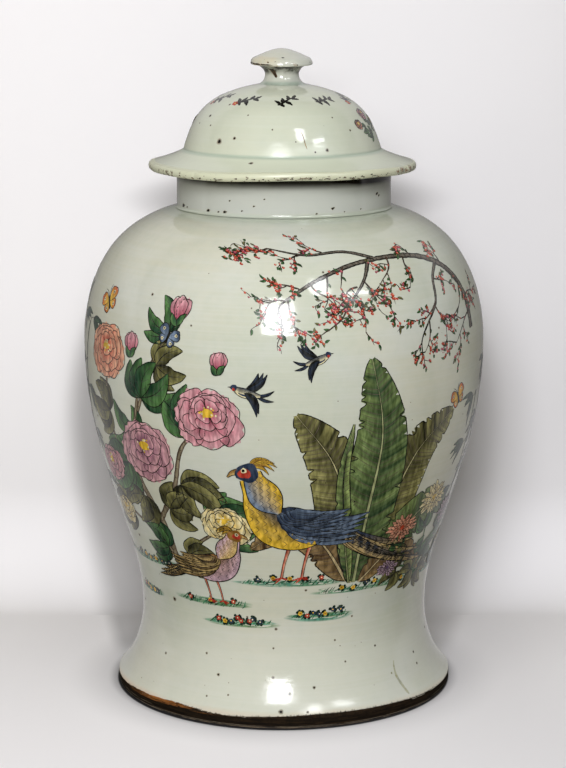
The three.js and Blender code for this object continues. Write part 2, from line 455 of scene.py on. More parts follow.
def body_finish():
    """The jar's glaze, pooled on the outside of the neck and darkened there by painted shade under the brim,
    and the bare rim.
    """
    finish = Finish("belly_shoulder_and_neck_glaze", Specular_IOR_Level=0.5)
    colour = glaze(finish)
    outside = finish.radius > NECK_FACE
    groove = finish.band(finish.z, 0.3432, 0.3472, 0.3488, 0.3520) * outside
    colour = finish.mix(groove * 0.35, colour, GLAZE_POOL)
    neck = finish.step(finish.z, 0.3490, 0.3520) * outside
    colour = finish.mix(neck * 0.8, colour, NECK_GREY)
    # Painted shade: a dark band on the neck just under the brim, and a fainter one lower down that is darkest
    # on the right side.
    shade_beneath = finish.step(finish.z + finish.noise(90, shift=4.0, detail=3) * 0.001, 0.3665, 0.3728)
    shaded = finish.band(finish.turn, 0.35, 0.95, 1.6, 2.2)
    brim_shade = shade_beneath * 0.80 + finish.step(finish.z, 0.3560, 0.3720) * (shaded * 0.42 + 0.16)
    colour = finish.mix(brim_shade * outside, colour, SHADE_AND_GRIME)
    bare = finish.step(finish.z, 0.3744, 0.3750)
    colour = finish.mix(bare, colour, wiped_clay(finish))
    finish.feed(finish.shader, {
        "Base Color": colour,
        "Roughness": bare * 0.6 + GLAZE_ROUGHNESS,
        "Normal": finish.relief(glaze_relief(finish), GLAZE_RELIEF),
    })
    return finish


NECK_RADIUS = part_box("jar_neck_collar")[1].x
NECK_BASE_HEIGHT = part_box("jar_neck_collar")[0].z
jar_glaze = body_finish()
belly_to_neck = sweep(belly, (NECK_RADIUS, NECK_BASE_HEIGHT), *SHOULDER_SHARES)
shoulder_joint = height_share(belly_to_neck, SHOULDER_JOINT_HEIGHT)
low_rows = run(waist_to_belly, waist_joint, 1)
high_rows = run(belly_to_neck, 0, shoulder_joint)
belly_top, belly_foot = high_rows[0][-1], low_rows[0][0]
jar_belly_section = thrown("jar_belly_section_fired", [
    low_rows,
    high_rows,
    line(belly_top, belly_top - [WALL, 0]),
    inside(run(belly_to_neck, 0, shoulder_joint, INNER_ROW), WALL),
    inside(run(waist_to_belly, waist_joint, 1, INNER_ROW), WALL),
    line(belly_foot - [WALL, 0], belly_foot),
], jar_wobble)
jar_glaze.wear(jar_belly_section)
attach(jar_belly_section, "jar")
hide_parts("jar_belly_section")


# Shoulder section of the jar
# The round shoulder closes the body to a flat ring. Glaze pools dark green where it meets the neck.
NECK_WALL = 0.009
neck_bore = NECK_RADIUS - NECK_WALL


def square_in(curve, low, high, wall, row=INNER_ROW):
    """A run one wall thickness in from the curve, square to it, seen from within."""
    places, along = run(curve, low, high, row)
    return (places + wall * np.column_stack([-along[:, 1], along[:, 0]]))[::-1], -along[::-1]


vault_places, vault_along = square_in(belly_to_neck, shoulder_joint, 1, WALL)
kept = (vault_places[:, 1] > belly_top[1]) & (vault_places[:, 0] < belly_top[0] - WALL)
vault = vault_places[kept], vault_along[kept]
shoulder_rows = run(belly_to_neck, shoulder_joint, 1, 0.0018)
jar_shoulder_section = thrown("jar_shoulder_section_fired", [
    shoulder_rows,
    line((NECK_RADIUS, NECK_BASE_HEIGHT), (neck_bore, NECK_BASE_HEIGHT)),
    line((neck_bore, NECK_BASE_HEIGHT), (neck_bore, vault[0][0][1])),
    line((neck_bore, vault[0][0][1]), vault[0][0]),
    vault,
    line(vault[0][-1], belly_top - [WALL, 0]),
    line(belly_top - [WALL, 0], belly_top),
], jar_wobble)
jar_glaze.wear(jar_shoulder_section)
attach(jar_shoulder_section, "jar")
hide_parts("jar_shoulder_section")


# Neck collar
# A short upright ring luted on the shoulder, with a fine groove round its foot. Its rim is wiped bare
# of glaze so that the cover doesn't stick to it in the kiln.
RIM_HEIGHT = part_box("jar_neck_collar")[1].z
RIM_ROUNDING = 0.0015
GROOVE_RADIUS = 0.0022
GROOVE_DEGREES = 248
groove_centre = (NECK_RADIUS + GROOVE_RADIUS, NECK_BASE_HEIGHT + GROOVE_RADIUS)
groove_rows = arc(groove_centre, GROOVE_RADIUS, GROOVE_DEGREES, 180, 5)
neck_face = (NECK_RADIUS, groove_centre[1]), (NECK_RADIUS, RIM_HEIGHT - RIM_ROUNDING)
jar_neck_collar = thrown("jar_neck_collar_fired", [
    groove_rows,
    line(*neck_face, row=0.0024),
    arc((NECK_RADIUS - RIM_ROUNDING, RIM_HEIGHT - RIM_ROUNDING), RIM_ROUNDING, 0, 90, 4),
    line((NECK_RADIUS - RIM_ROUNDING, RIM_HEIGHT), (neck_bore + RIM_ROUNDING, RIM_HEIGHT), row=0.002),
    arc((neck_bore + RIM_ROUNDING, RIM_HEIGHT - RIM_ROUNDING), RIM_ROUNDING, 90, 180, 4),
    line((neck_bore, RIM_HEIGHT - RIM_ROUNDING), (neck_bore, NECK_BASE_HEIGHT), row=0.004),
    line((neck_bore, NECK_BASE_HEIGHT), groove_rows[0][0]),
], jar_wobble)
jar_glaze.wear(jar_neck_collar)
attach(jar_neck_collar, "jar")
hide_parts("jar_neck_collar")


# Cover shell
# Brim and dome thrown in one and glazed on top and within. The seat beneath is bare, and the
# thin lip has lost glaze along its lower edge.
BRIM_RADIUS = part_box("cover_shell")[1].x
LIP_RADIUS = 0.0022
LIP_DROP = 0.0013
SEAT_RADIUS = NECK_RADIUS + 0.0025
DOME_INSET = 0.0058
BRIM_RISE = 0.0084
DOME_RADIUS = NECK_RADIUS - DOME_INSET
DOME_BASE_HEIGHT = RIM_HEIGHT + 2 * LIP_RADIUS + BRIM_RISE
DOME_TOP_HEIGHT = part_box("cover_shell")[1].z
KNOB_FOOT_RADIUS = 0.0154
FLANGE_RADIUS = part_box("cover_locating_flange")[1].x
FLANGE_WALL = 0.007
COVER_WALL = 0.007
BRIM_SHARES = (0.24, 0.16), (0.76, 0.54)
DOME_SHARES = (0.13, 0.50), (0.24, 0.84)
GLAZE_COVER = (0.600, 0.640, 0.505)
LIP_BUFF = (0.60, 0.575, 0.37)
LIP_BROWN = (0.10, 0.06, 0.028)


def cover_wobble(turn, radius, height):
    """Where a point of the turned cover lies once fired: the lip waves, droops in two places and has
    lost two chips, and the dome leans a little."""
    oval = 1 + 0.0016 * np.cos(2 * turn + 1.9) + 0.0007 * np.cos(3 * turn)
    lip = np.clip((radius - SEAT_RADIUS) / 0.0155, 0, 1) ** 1.3
    wave = 0.00045 * np.sin(2 * turn + 0.4) + 0.0003 * np.sin(5 * turn + 2.0) + 0.00018 * np.sin(11 * turn)
    chip = np.exp(-(((np.mod(turn, 2 * math.pi) - 1.13) / 0.035) ** 2)) * 0.0011
    chip = chip + np.exp(-(((np.mod(turn, 2 * math.pi) - 5.6) / 0.02) ** 2)) * 0.0006
    ribs = 0.000025 * np.sin(2 * math.pi * height / 0.0083 + np.sin(turn))
    out = (radius - 0.0003) * oval + ribs * np.clip(radius / 0.03, 0, 1)
    out = np.where(radius > 0, out - chip * lip**4, 0)
    near = np.mod(turn + math.pi, 2 * math.pi) - math.pi
    dips = 0.0008 * np.exp(-(((near + 0.42) / 0.18) ** 2))
    dips = dips + 0.0009 * np.exp(-(((near - 1.2) / 0.25) ** 2))
    rise = height + (wave - dips) * lip
    shift = -0.0010 - 0.0004 * np.clip((height - RIM_HEIGHT) / 0.06, 0, 1)
    return np.stack([out * np.sin(turn) + shift, -out * np.cos(turn), rise + 0 * turn], axis=-1)


def cover_finish():
    """The cover's glaze, pooled at the foot of the dome and of the knob, its worn lip and bare seat."""
    finish = Finish("cover_glaze_and_bare_seat", Specular_IOR_Level=0.5)
    colour = glaze(finish)
    # The cover's glaze is paler and greener than the jar's. The further paleness on the brim is painted
    # light.
    colour = finish.mix(finish.step(finish.radius, 0.068, 0.074) * 0.35 + 0.42, colour, GLAZE_COVER)
    pooled = finish.band(finish.z, 0.3868, 0.3884, 0.3925, 0.3985) * (finish.radius > 0.060)
    junction = finish.band(finish.z, 0.3868, 0.3884, 0.3890, 0.3906)
    colour = finish.mix(junction * (finish.radius > 0.066) * 0.6, colour, GLAZE_POOL)
    stem = finish.step(finish.z, 0.4325, 0.4343) * finish.step(finish.radius, 0.0205, 0.0165)
    colour = finish.mix(stem * 0.7, colour, GLAZE_POOL)
    lip = finish.step(finish.radius, 0.0905, 0.0925)
    low_edge = finish.step(finish.z, 0.3792, 0.3772) * lip
    patchy = finish.step(finish.noise(17, shift=2.6, detail=1), 0.40, 0.60)
    chipped = finish.band(finish.turn, 0.94, 1.04, 1.20, 1.30) * lip
    worn = finish.step(finish.noise(330, shift=5.0, detail=3) + patchy * 0.10 + chipped * 0.05, 0.63, 0.70)
    worn = worn * (1 - (1 - low_edge) * (1 - chipped))
    colour = finish.mix(lip * 0.40, colour, LIP_BUFF)
    colour = finish.mix(worn * 0.85, colour, LIP_BROWN)
    seat = (finish.z < 0.3762) * (finish.radius > 0.055) * finish.step(finish.radius, 0.0805, 0.0790)
    colour = finish.mix(seat, colour, wiped_clay(finish))
    finish.feed(finish.shader, {
        "Base Color": colour,
        "Roughness": seat * 0.6 + worn * 0.35 + lip * 0.22 + pooled * 0.17 + GLAZE_ROUGHNESS,
        "Normal": finish.relief(glaze_relief(finish), GLAZE_RELIEF),
    })
    return finish


flange_bore = FLANGE_RADIUS - FLANGE_WALL
brim_top = RIM_HEIGHT + 2 * LIP_RADIUS
lip_rise = (brim_top - RIM_HEIGHT + LIP_DROP) / 2
lip_centre = (BRIM_RADIUS - LIP_RADIUS, brim_top - lip_rise)
dome_base, dome_top = (DOME_RADIUS, DOME_BASE_HEIGHT), (KNOB_FOOT_RADIUS, DOME_TOP_HEIGHT)
brim_curve = sweep((BRIM_RADIUS - LIP_RADIUS, brim_top), dome_base, *BRIM_SHARES)
dome_curve = sweep(dome_base, dome_top, *DOME_SHARES)
brim_rows = run(brim_curve, row=0.0012)
dome_rows = run(dome_curve, row=0.0018)
hollow_places, hollow_along = square_in(dome_curve, 0, 1, COVER_WALL, 0.004)
kept = (hollow_places[:, 0] < flange_bore) & (hollow_places[:, 1] < DOME_TOP_HEIGHT - COVER_WALL)
hollow = hollow_places[kept], hollow_along[kept]
cover_shell = thrown("cover_shell_fired", [
    line((0, DOME_TOP_HEIGHT - COVER_WALL), hollow[0][0]),
    hollow,
    line(hollow[0][-1], (flange_bore, hollow[0][-1][1] - 0.002), (flange_bore, RIM_HEIGHT), row=0.004),
    line((flange_bore, RIM_HEIGHT), (SEAT_RADIUS, RIM_HEIGHT), row=0.002),
    line((SEAT_RADIUS, RIM_HEIGHT), (BRIM_RADIUS - LIP_RADIUS, RIM_HEIGHT - LIP_DROP), row=0.002),
    arc(lip_centre, LIP_RADIUS, -90, 90, 10, lip_rise),
    brim_rows,
    dome_rows,
    line(dome_top, (0, DOME_TOP_HEIGHT)),
], cover_wobble)
cover_glaze = cover_finish()
cover_glaze.wear(cover_shell)
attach(cover_shell, "cover")
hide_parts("cover_shell")


# Locating flange of the cover
# A ring of bare clay luted beneath the seat. It drops into the neck and keeps the cover centred.
FLANGE_DEPTH = RIM_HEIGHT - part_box("cover_locating_flange")[0].z
FLANGE_BEVEL = 0.0015
FLANGE_TURNS = 192
FLANGE_BROWN = (0.36, 0.21, 0.12)


def bare_finish():
    """Bare clay with the lines of the tool that turned it."""
    finish = Finish("flange_bare_clay")
    tone = finish.step(finish.noise(45, shift=3.0, detail=5), 0.35, 0.7)
    colour = finish.mix(tone, BARE_CLAY, FLANGE_BROWN)
    rings = finish.noise(60, stretch=(0.05, 0.05, 20), shift=2.5, detail=2)
    finish.feed(finish.shader, {
        "Base Color": finish.mix(finish.step(rings, 0.55, 0.75) * 0.3, colour, FOOT_BROWN),
        "Roughness": tone * 0.1 + 0.7,
        "Normal": finish.relief(rings * 0.7 + finish.noise(800, detail=2) * 0.3, 0.0003),
    })
    return finish


flange_foot = RIM_HEIGHT - FLANGE_DEPTH
cover_locating_flange = thrown("cover_locating_flange_fired", [
    line((flange_bore, RIM_HEIGHT), (flange_bore, flange_foot + FLANGE_BEVEL), row=0.002),
    arc((flange_bore + FLANGE_BEVEL, flange_foot + FLANGE_BEVEL), FLANGE_BEVEL, 180, 270, 4),
    line((flange_bore + FLANGE_BEVEL, flange_foot), (FLANGE_RADIUS - FLANGE_BEVEL, flange_foot), row=0.002),
    arc((FLANGE_RADIUS - FLANGE_BEVEL, flange_foot + FLANGE_BEVEL), FLANGE_BEVEL, -90, 0, 4),
    line((FLANGE_RADIUS, flange_foot + FLANGE_BEVEL), (FLANGE_RADIUS, RIM_HEIGHT), row=0.002),
    line((FLANGE_RADIUS, RIM_HEIGHT), (flange_bore, RIM_HEIGHT), row=0.002),
], cover_wobble, FLANGE_TURNS)
bare_finish().wear(cover_locating_flange)
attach(cover_locating_flange, "cover")
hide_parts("cover_locating_flange")


# Knob of the cover
# A waisted stem under a low mushroom cap, thrown apart and luted on. Handling has stained it
# under the cap's edge, and the shade beneath the cap is painted in along with that grime.
KNOB_STEM_RADIUS = 0.0117
KNOB_STEM_HEIGHT = 0.012
KNOB_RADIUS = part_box("cover_knob")[1].x
KNOB_UNDERSIDE_RISE = 0.0028
KNOB_EDGE = 0.005
KNOB_EDGE_REACH = 0.0026
KNOB_ROUNDING = 0.0015
KNOB_TOP_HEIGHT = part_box("cover_knob")[1].z
STEM_FILLET = 0.0018
STEM_WAIST_RISE = 0.0066
KNOB_TURNS = 144
KNOB_ROUGHNESS = 0.06
KNOB_WORN = (0.30, 0.22, 0.13)
KNOB_BUFF = (0.60, 0.53, 0.37)


def knob_wobble(turn, radius, height):
    """Where a point of the turned knob lies: out of round, its edge drooping most in front, and its peak
    off the axis."""
    up = np.clip((height - DOME_TOP_HEIGHT) / (KNOB_TOP_HEIGHT - DOME_TOP_HEIGHT), 0, 1)
    oval = 1 + 0.010 * np.cos(2 * turn + 0.6) * up + 0.006 * np.cos(5 * turn + 1.0) * up
    out = radius * (oval - 0.016 * up)
    front = ((1 + np.cos(turn - 0.35)) / 2) ** 1.5
    droop = -(0.0009 + 0.0011 * front) * np.clip(radius / KNOB_RADIUS, 0, 1) ** 2 * np.clip(up * 1.6, 0, 1)
    sag = 0.0010 * up
    shift = -0.0012 - 0.0005 * up
    rise = height + droop - sag + 0 * turn
    return np.stack([out * np.sin(turn) + shift, -out * np.cos(turn), rise], axis=-1)


def knob_finish():
    """The knob's glaze, rubbed thin along its edge, with painted shade and grime beneath the cap."""
    finish = Finish("knob_glaze", Specular_IOR_Level=0.5)
    colour = glaze(finish)
    colour = finish.mix(0.20, colour, GLAZE_GREY)
    foot = finish.step(finish.z, 0.4372, 0.4350)
    colour = finish.mix(foot * 0.7, colour, GLAZE_POOL)
    nicks = finish.step(finish.noise(220, shift=9.1, detail=3), 0.60, 0.68)
    edge = finish.step(finish.radius, 0.0205, 0.0216) * nicks
    colour = finish.mix(edge * 0.7, colour, KNOB_WORN)
    worn = finish.band(finish.turn, -1.45, -1.1, -0.5, 0.0) * finish.step(finish.radius, 0.0165, 0.0195)
    thin = finish.step(finish.noise(130, shift=3.3, detail=3), 0.25, 0.6)
    colour = finish.mix(worn * thin * 0.7, colour, KNOB_BUFF)
    # Painted shade with grime: the stem darkens under the cap's edge.
    shade_beneath = finish.band(finish.z, 0.4398, 0.4440, 0.4490, 0.4500)
    shade_beneath = shade_beneath * finish.step(finish.radius, 0.0202, 0.0186)
    uneven = finish.step(finish.noise(150, shift=6.3, detail=4), 0.35, 0.60) * 0.75 + 0.22
    colour = finish.mix(shade_beneath * uneven, colour, SHADE_AND_GRIME)
    finish.feed(finish.shader, {
        "Base Color": colour,
        "Roughness": edge * 0.3 + KNOB_ROUGHNESS,
        "Normal": finish.relief(glaze_relief(finish), GLAZE_RELIEF),
    })
    return finish


edge_height = DOME_TOP_HEIGHT + KNOB_STEM_HEIGHT + KNOB_UNDERSIDE_RISE
cap_height = edge_height + KNOB_EDGE
edge_start = (KNOB_RADIUS - KNOB_ROUNDING, edge_height)
edge_wide = (KNOB_RADIUS, edge_height + KNOB_ROUNDING)
cap_start = (KNOB_RADIUS - KNOB_EDGE_REACH, cap_height + 0.0004)
stem_foot = (KNOB_FOOT_RADIUS + STEM_FILLET, DOME_TOP_HEIGHT - 0.0004)
stem_waist = (KNOB_STEM_RADIUS + 0.0003, DOME_TOP_HEIGHT + STEM_WAIST_RISE)
knob_rows = [
    run(sweep(stem_foot, stem_waist, (0.50, 0.06), (1.0, 0.50)), row=0.0008),
    run(sweep(stem_waist, edge_start, (0.0, 0.48), (0.42, 0.92)), row=0.0008),
    arc((edge_start[0], edge_wide[1]), KNOB_ROUNDING, -90, 0, 6),
    run(sweep(edge_wide, cap_start, (0.04, 0.45), (0.45, 0.92)), row=0.0005),
    run(sweep(cap_start, (0, KNOB_TOP_HEIGHT), (0.35, 0.45), (0.7, 1.0)), row=0.0012),
]
cover_knob = thrown("cover_knob_fired", [
    line((0, DOME_TOP_HEIGHT), (KNOB_FOOT_RADIUS, DOME_TOP_HEIGHT), row=0.004),
    line((KNOB_FOOT_RADIUS, DOME_TOP_HEIGHT), stem_foot),
    *knob_rows,
], knob_wobble, KNOB_TURNS)
knob_finish().wear(cover_knob)
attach(cover_knob, "cover")
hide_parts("cover_knob")


# Iron specks on the jar
# Grains of iron in the clay have burnt through the glaze as dark pinholes with a brown halo, and a
# pale stain runs up from the foot on the right. They lie on the glaze as brush marks do.
MM = 0.001
SPECK = (0.008, 0.005, 0.004)
SPECK_HALO = (0.16, 0.095, 0.045)
STAIN_PALE = (0.34, 0.32, 0.155)
chance = np.random.default_rng(11)


def soft(points, spacing=1.0):
    """Even places, in mm, on a soft curve through a few points of the paper, four of them at least."""
    path = np.array(points, complex)
    if len(path) > 2:
        led = np.concatenate([[2 * path[0] - path[1]], path, [2 * path[-1] - path[-2]]])
        t = np.linspace(0, 1, 13)[:-1]
        a, b, c, d = (led[i:len(led) - 3 + i, None] for i in range(4))
        fine = b + 0.5 * ((c - a) * t + (2 * a - 5 * b + 4 * c - d) * t**2 + (3 * b - a - 3 * c + d) * t**3)
        path = np.append(fine.ravel(), path[-1])
    far = np.concatenate([[0], np.cumsum(abs(np.diff(path)))])
    even = np.linspace(0, far[-1], max(4, int(far[-1] / spacing) + 1))
    return np.interp(even, far, path.real) + 1j * np.interp(even, far, path.imag)


def sideways(path):
    """The direction to the left of each place of a path."""
    ahead = np.gradient(path)
    return 1j * ahead / np.maximum(abs(ahead), 1e-9)


def blend(first, second, share):
    """A tone between two, for an array of shares."""
    share = np.clip(np.asarray(share, float), 0, 1)[..., None]
    return np.asarray(first) * (1 - share) + np.asarray(second) * share


class Skin:
    """The glazed outside of a turned body, with places given by turn and by distance up its outline."""

    def __init__(self, rows, wobble):
        places = np.concatenate([p for p, _ in rows])
        along = np.concatenate([a for _, a in rows])
        gaps = np.linalg.norm(np.diff(places, axis=0), axis=1)
        kept = np.concatenate([[True], gaps > 1e-7])
        self.radii, self.heights = places[kept].T
        self.lean, self.climb = along[kept].T
        self.far = np.concatenate([[0], np.cumsum(gaps[gaps > 1e-7])])
        self.wobble = wobble

    def at(self, turn, far, paper, lift):
        """Places and outward directions for marks on paper held against the skin, in metres."""
        far = far + paper.imag
        outline = (self.radii, self.heights, self.lean, self.climb)
        radius, height, lean, climb = (np.interp(far, self.far, c) for c in outline)
        turn = turn + paper.real / radius
        place = self.wobble(turn, radius + lift * climb, height - lift * lean)
        step = 2e-5
        spun = self.wobble(turn + step, radius, height) - self.wobble(turn - step, radius, height)
        above = self.wobble(turn, radius + step * lean, height + step * climb)
        risen = above - self.wobble(turn, radius - step * lean, height - step * climb)
        facing = np.cross(spun, risen)
        return place, facing / np.linalg.norm(facing, axis=-1, keepdims=True)


class Brushwork:
    """Brush marks on a skin, drawn in mm on paper held against it and gathered into one thin piece.
    Lift and above are heights over the skin, which keep one mark from sinking into another."""

    MAP_GAP = 0.6
    MAP_EDGE = 0.2

    def __init__(self, skin, lift=0.05):
        self.skin, self.lift, self.marks = skin, lift, []

    def start(self, turn, height, size=1.0, tilt=0.0, flip=False):
        """Moves the paper's origin to a turn in degrees and a height in mm."""
        self.turn = math.radians(turn)
        self.far = float(np.interp(height * MM, self.skin.heights, self.skin.far))
        self.scale = size * np.exp(1j * math.radians(tilt))
        self.flip = flip

    def mark(self, grid, tone, cover=1.0, above=0.0):
        """Lays down a net of places with a tone and a cover for each, from 0, clear, to 1."""
        grid = np.asarray(grid, complex)
        grid = (-grid.conj() if self.flip else grid) * self.scale
        tone = np.broadcast_to(np.asarray(tone, float), (*grid.shape, 3))
        cover = np.broadcast_to(cover, grid.shape)
        self.marks.append((grid, np.dstack([tone, cover]), self.turn, self.far, self.lift + above))

    def stroke(self, points, width, tone, cover=0.95, land=0.2, leave=0.4, above=0.006):
        """A brush stroke, thinner where the brush lands and leaves, and as wide at any size of paper."""
        path = soft(points)
        t = np.linspace(0, 1, len(path))
        press = np.minimum(1, (t + 0.03) / land) * np.minimum(1, (1.03 - t) / leave)
        half = width / 2 / abs(self.scale) * (0.25 + 0.75 * press**0.8)
        half = half * chance.uniform(0.85, 1.15, len(path))
        side = sideways(path) * half
        self.mark(np.stack([path - side, path + side], 1), tone, cover, above)

    def spot(
        self, centre, radius, tone, cover=0.95, rim=None, squash=1.0, tilt=0.0, ragged=0.08, above=0.006
    ):
        """A round dab. A rim cover under its own makes a soft edge."""
        rings = np.array([0.03, 0.5, 0.8, 1.0])
        around = np.linspace(0, 2 * np.pi, max(9, min(33, int(10 + 2 * radius))))
        edge = 1 + ragged * np.sin(around * 3 + chance.uniform(0, 6))
        edge = edge + ragged * np.sin(around * 5 + chance.uniform(0, 6)) / 2
        form = (np.cos(around) + 1j * squash * np.sin(around)) * np.exp(1j * math.radians(tilt)) * edge
        rim = cover if rim is None else rim
        covers = np.array([cover, cover, 0.55 * cover + 0.45 * rim, rim])[:, None]
        self.mark(centre + radius * rings[:, None] * form, tone, covers, above)

    def spread(self):
        """Where each mark lies on the piece's own map, in rows, widest first, with gaps between them."""
        sizes = []
        for grid, *_ in self.marks:
            long, wide = (abs(np.diff(grid, axis=k)).sum(k).max() + self.MAP_GAP for k in (0, 1))
            sizes.append((long, wide))
        row_length = math.sqrt(1.15 * sum(a * b for a, b in sizes)) + max(a for a, _ in sizes)
        corners, x, y, deep = {}, 0.0, 0.0, 0.0
        for i in sorted(range(len(sizes)), key=lambda i: -sizes[i][1]):
            if x + sizes[i][0] > row_length:
                x, y, deep = 0.0, y + deep, 0.0
            corners[i] = (x, y)
            x, deep = x + sizes[i][0], max(deep, sizes[i][1])
        return sizes, corners, max(row_length, y + deep)

    def done(self, name, finish, body, slot):
        """Builds the piece. Each mark has its own place on the piece's map."""
        places, facings, pigments, faces, maps, count = [], [], [], [], [], 0
        sizes, corners, sheet = self.spread()
        for i, (grid, pigment, turn, far, lift) in enumerate(self.marks):
            place, facing = self.skin.at(turn, far, grid * MM, lift * MM)
            rows, columns = grid.shape
            number = np.arange(rows * columns).reshape(rows, columns)
            quads = np.stack([number[:-1, :-1], number[1:, :-1], number[1:, 1:], number[:-1, 1:]], -1)
            quads = quads.reshape(-1, 4)
            a, b, c, d = (grid.ravel()[quads[:, k]] for k in range(4))
            area = ((c - a).conjugate() * (d - b)).imag
            quads = np.where(area[:, None] < 0, quads[:, ::-1], quads)[abs(area) > 1e-6]
            long, wide = (size - 2 * self.MAP_EDGE for size in sizes[i])
            x = corners[i][0] + self.MAP_EDGE + long * np.linspace(0, 1, rows)[:, None]
            y = corners[i][1] + self.MAP_EDGE + wide * np.linspace(0, 1, columns)
            mapped = np.stack(np.broadcast_arrays(x, y), -1).reshape(-1, 2) / sheet
            places.append(place.reshape(-1, 3))
            facings.append(facing.reshape(-1, 3))
            pigments.append(pigment.reshape(-1, 4))
            maps.append(mapped[quads.ravel()])
            faces.append(quads + count)
            count += rows * columns
        faces = np.concatenate(faces)
        mesh = bpy.data.meshes.new(name)
        mesh.vertices.add(count)
        mesh.vertices.foreach_set("co", np.concatenate(places).ravel())
        mesh.loops.add(faces.size)
        mesh.loops.foreach_set("vertex_index", faces.ravel())
        mesh.polygons.add(len(faces))
        mesh.polygons.foreach_set("loop_start", np.arange(len(faces)) * 4)
        mesh.update(calc_edges=True)
        mesh.polygons.foreach_set("use_smooth", [True] * len(faces))
        tones = mesh.color_attributes.new("pigment", "FLOAT_COLOR", "POINT")
        tones.data.foreach_set("color", np.concatenate(pigments).ravel())
        mesh.uv_layers.new(name="OFBake").uv.foreach_set("vector", np.concatenate(maps).ravel())
        mesh.normals_split_custom_set_from_vertices(np.concatenate(facings))
        piece = bpy.data.objects.new(name, mesh)
        bpy.context.scene.collection.objects.link(piece)
        finish.wear(piece)
        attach(piece, body)


def painted_finish(name, roughness):
    """Pigment over the glaze, uneven where the brush ran dry, with the glaze's own relief."""
    finish = Finish(name, Specular_IOR_Level=0.5)
    pigment, cover = finish.node("VertexColor", {"layer_name": "pigment"}, out=("Color", "Alpha"))
    dry = finish.step(finish.noise(420, stretch=(1, 1, 0.22), shift=6.0, detail=3), 0.32, 0.72)
    uneven = finish.node("VectorMath", {"operation": "SCALE"}, pigment, Scale=dry * 0.62 + 0.56)
    clear = 1 - cover
    finish.feed(finish.shader, {
        "Base Color": finish.mix((1 - clear * clear) * (1 - dry * 0.03), glaze(finish), uneven),
        "Roughness": dry * 0.06 + roughness,
        "Normal": finish.relief(glaze_relief(finish), 0.00012),
    })
    return finish


jar_skin = Skin([flare_rows, run(waist_to_belly), run(belly_to_neck)], jar_wobble)
JAR_SPECKS = [
    (-41, 300, 0.9), (-26, 283, 0.6), (-9, 296, 0.5), (12, 318, 0.7), (33, 311, 0.6), (48, 276, 0.7),
    (-57, 262, 0.8), (-47, 197, 1.3), (-33, 146, 0.8), (-62, 120, 1.0), (8, 95, 0.8), (-36, 110, 1.1),
    (-47, 78, 1.4), (42, 104, 0.6), (-3, 66, 0.9), (27, 72, 0.7), (-31, 44, 0.7), (-25, 31, 0.9),
    (-4, 32, 0.9), (2, 21.5, 1.0), (-20, 19, 0.6), (-28, 16.5, 0.6), (11, 25, 0.9), (8, 10.4, 0.8),
    (-1, 10.9, 1.4), (60, 25, 0.8), (60, 33, 0.8), (-4, 52, 0.6), (38, 47, 0.7), (52, 210, 0.6),
    (-70, 205, 0.9), (-52, 36, 0.8), (24, 40, 0.6), (-14, 74, 0.7), (20, 56, 0.6),
]
specks = Brushwork(jar_skin)
for turn, height, size in JAR_SPECKS:
    specks.start(turn, height)
    specks.spot(0, size * 1.5, SPECK_HALO, 0.5, 0.0, above=0)
    specks.spot(0, size * 0.72, SPECK, 0.98, 0.8, squash=0.85)
for turn, height in zip(chance.uniform(50, 310, 60), chance.uniform(14, 330, 60)):
    size = chance.uniform(0.35, 1.0)
    specks.start(turn, height)
    specks.spot(0, size * 1.5, SPECK_HALO, 0.5, 0.0, above=0)
    specks.spot(0, size * 0.75, SPECK, 0.95, 0.4, squash=0.85)
for turn, height in zip(chance.uniform(-180, 180, 150), chance.uniform(12, 335, 150)):
    specks.start(turn, height)
    specks.spot(0, chance.uniform(0.25, 0.5), SPECK_HALO, 0.7, 0.15)
specks.start(47, 11)
specks.stroke([3 - 1j, 0.5 + 6j, -2 + 14j, -2.2 + 20j, -1 + 25j], 2.4, STAIN_PALE, 0.32, 0.1, 0.5)
for spot, size in ((-2.2 + 14j, 1.2), (-2 + 21j, 0.9), (-6 + 17j, 0.9), (2 + 3j, 0.7)):
    specks.spot(spot, size, STAIN_PALE, 0.6, 0.1)
speck_finish = painted_finish("iron_specks", 0.2)
specks.done("jar_iron_specks", speck_finish, "jar", "celadon_glaze")


# Burnt edge of the foot
# Bare clay below the glaze, burnt dark in the kiln, with a ragged top edge, streaks left by the
# turning tool, a rusty patch on the left of the front and pale scratches close to the floor.
FOOT_SCRATCH = (0.17, 0.14, 0.10)
BURNT_START_MM = 1.2
BURNT_COLUMNS = 5
BURNT_LINE = [
    (-180, 8.2), (-140, 7.2), (-90, 4.0), (-76, 5.8), (-62, 7.2), (-51, 7.6), (-37, 8.8), (-30, 8.0),
    (-23, 6.8), (-12, 7.6), (0, 8.3), (12, 9.0), (23, 8.8), (39, 8.4), (50, 7.5), (62, 7.2), (76, 6.0),
    (90, 4.0), (140, 7.2), (180, 8.2),
]


def band_top(turn):
    """Height in mm of the burnt band at a turn. It is lower at the sides, where the glaze hangs down."""
    return float(np.interp((turn + 180) % 360 - 180, *zip(*BURNT_LINE)))


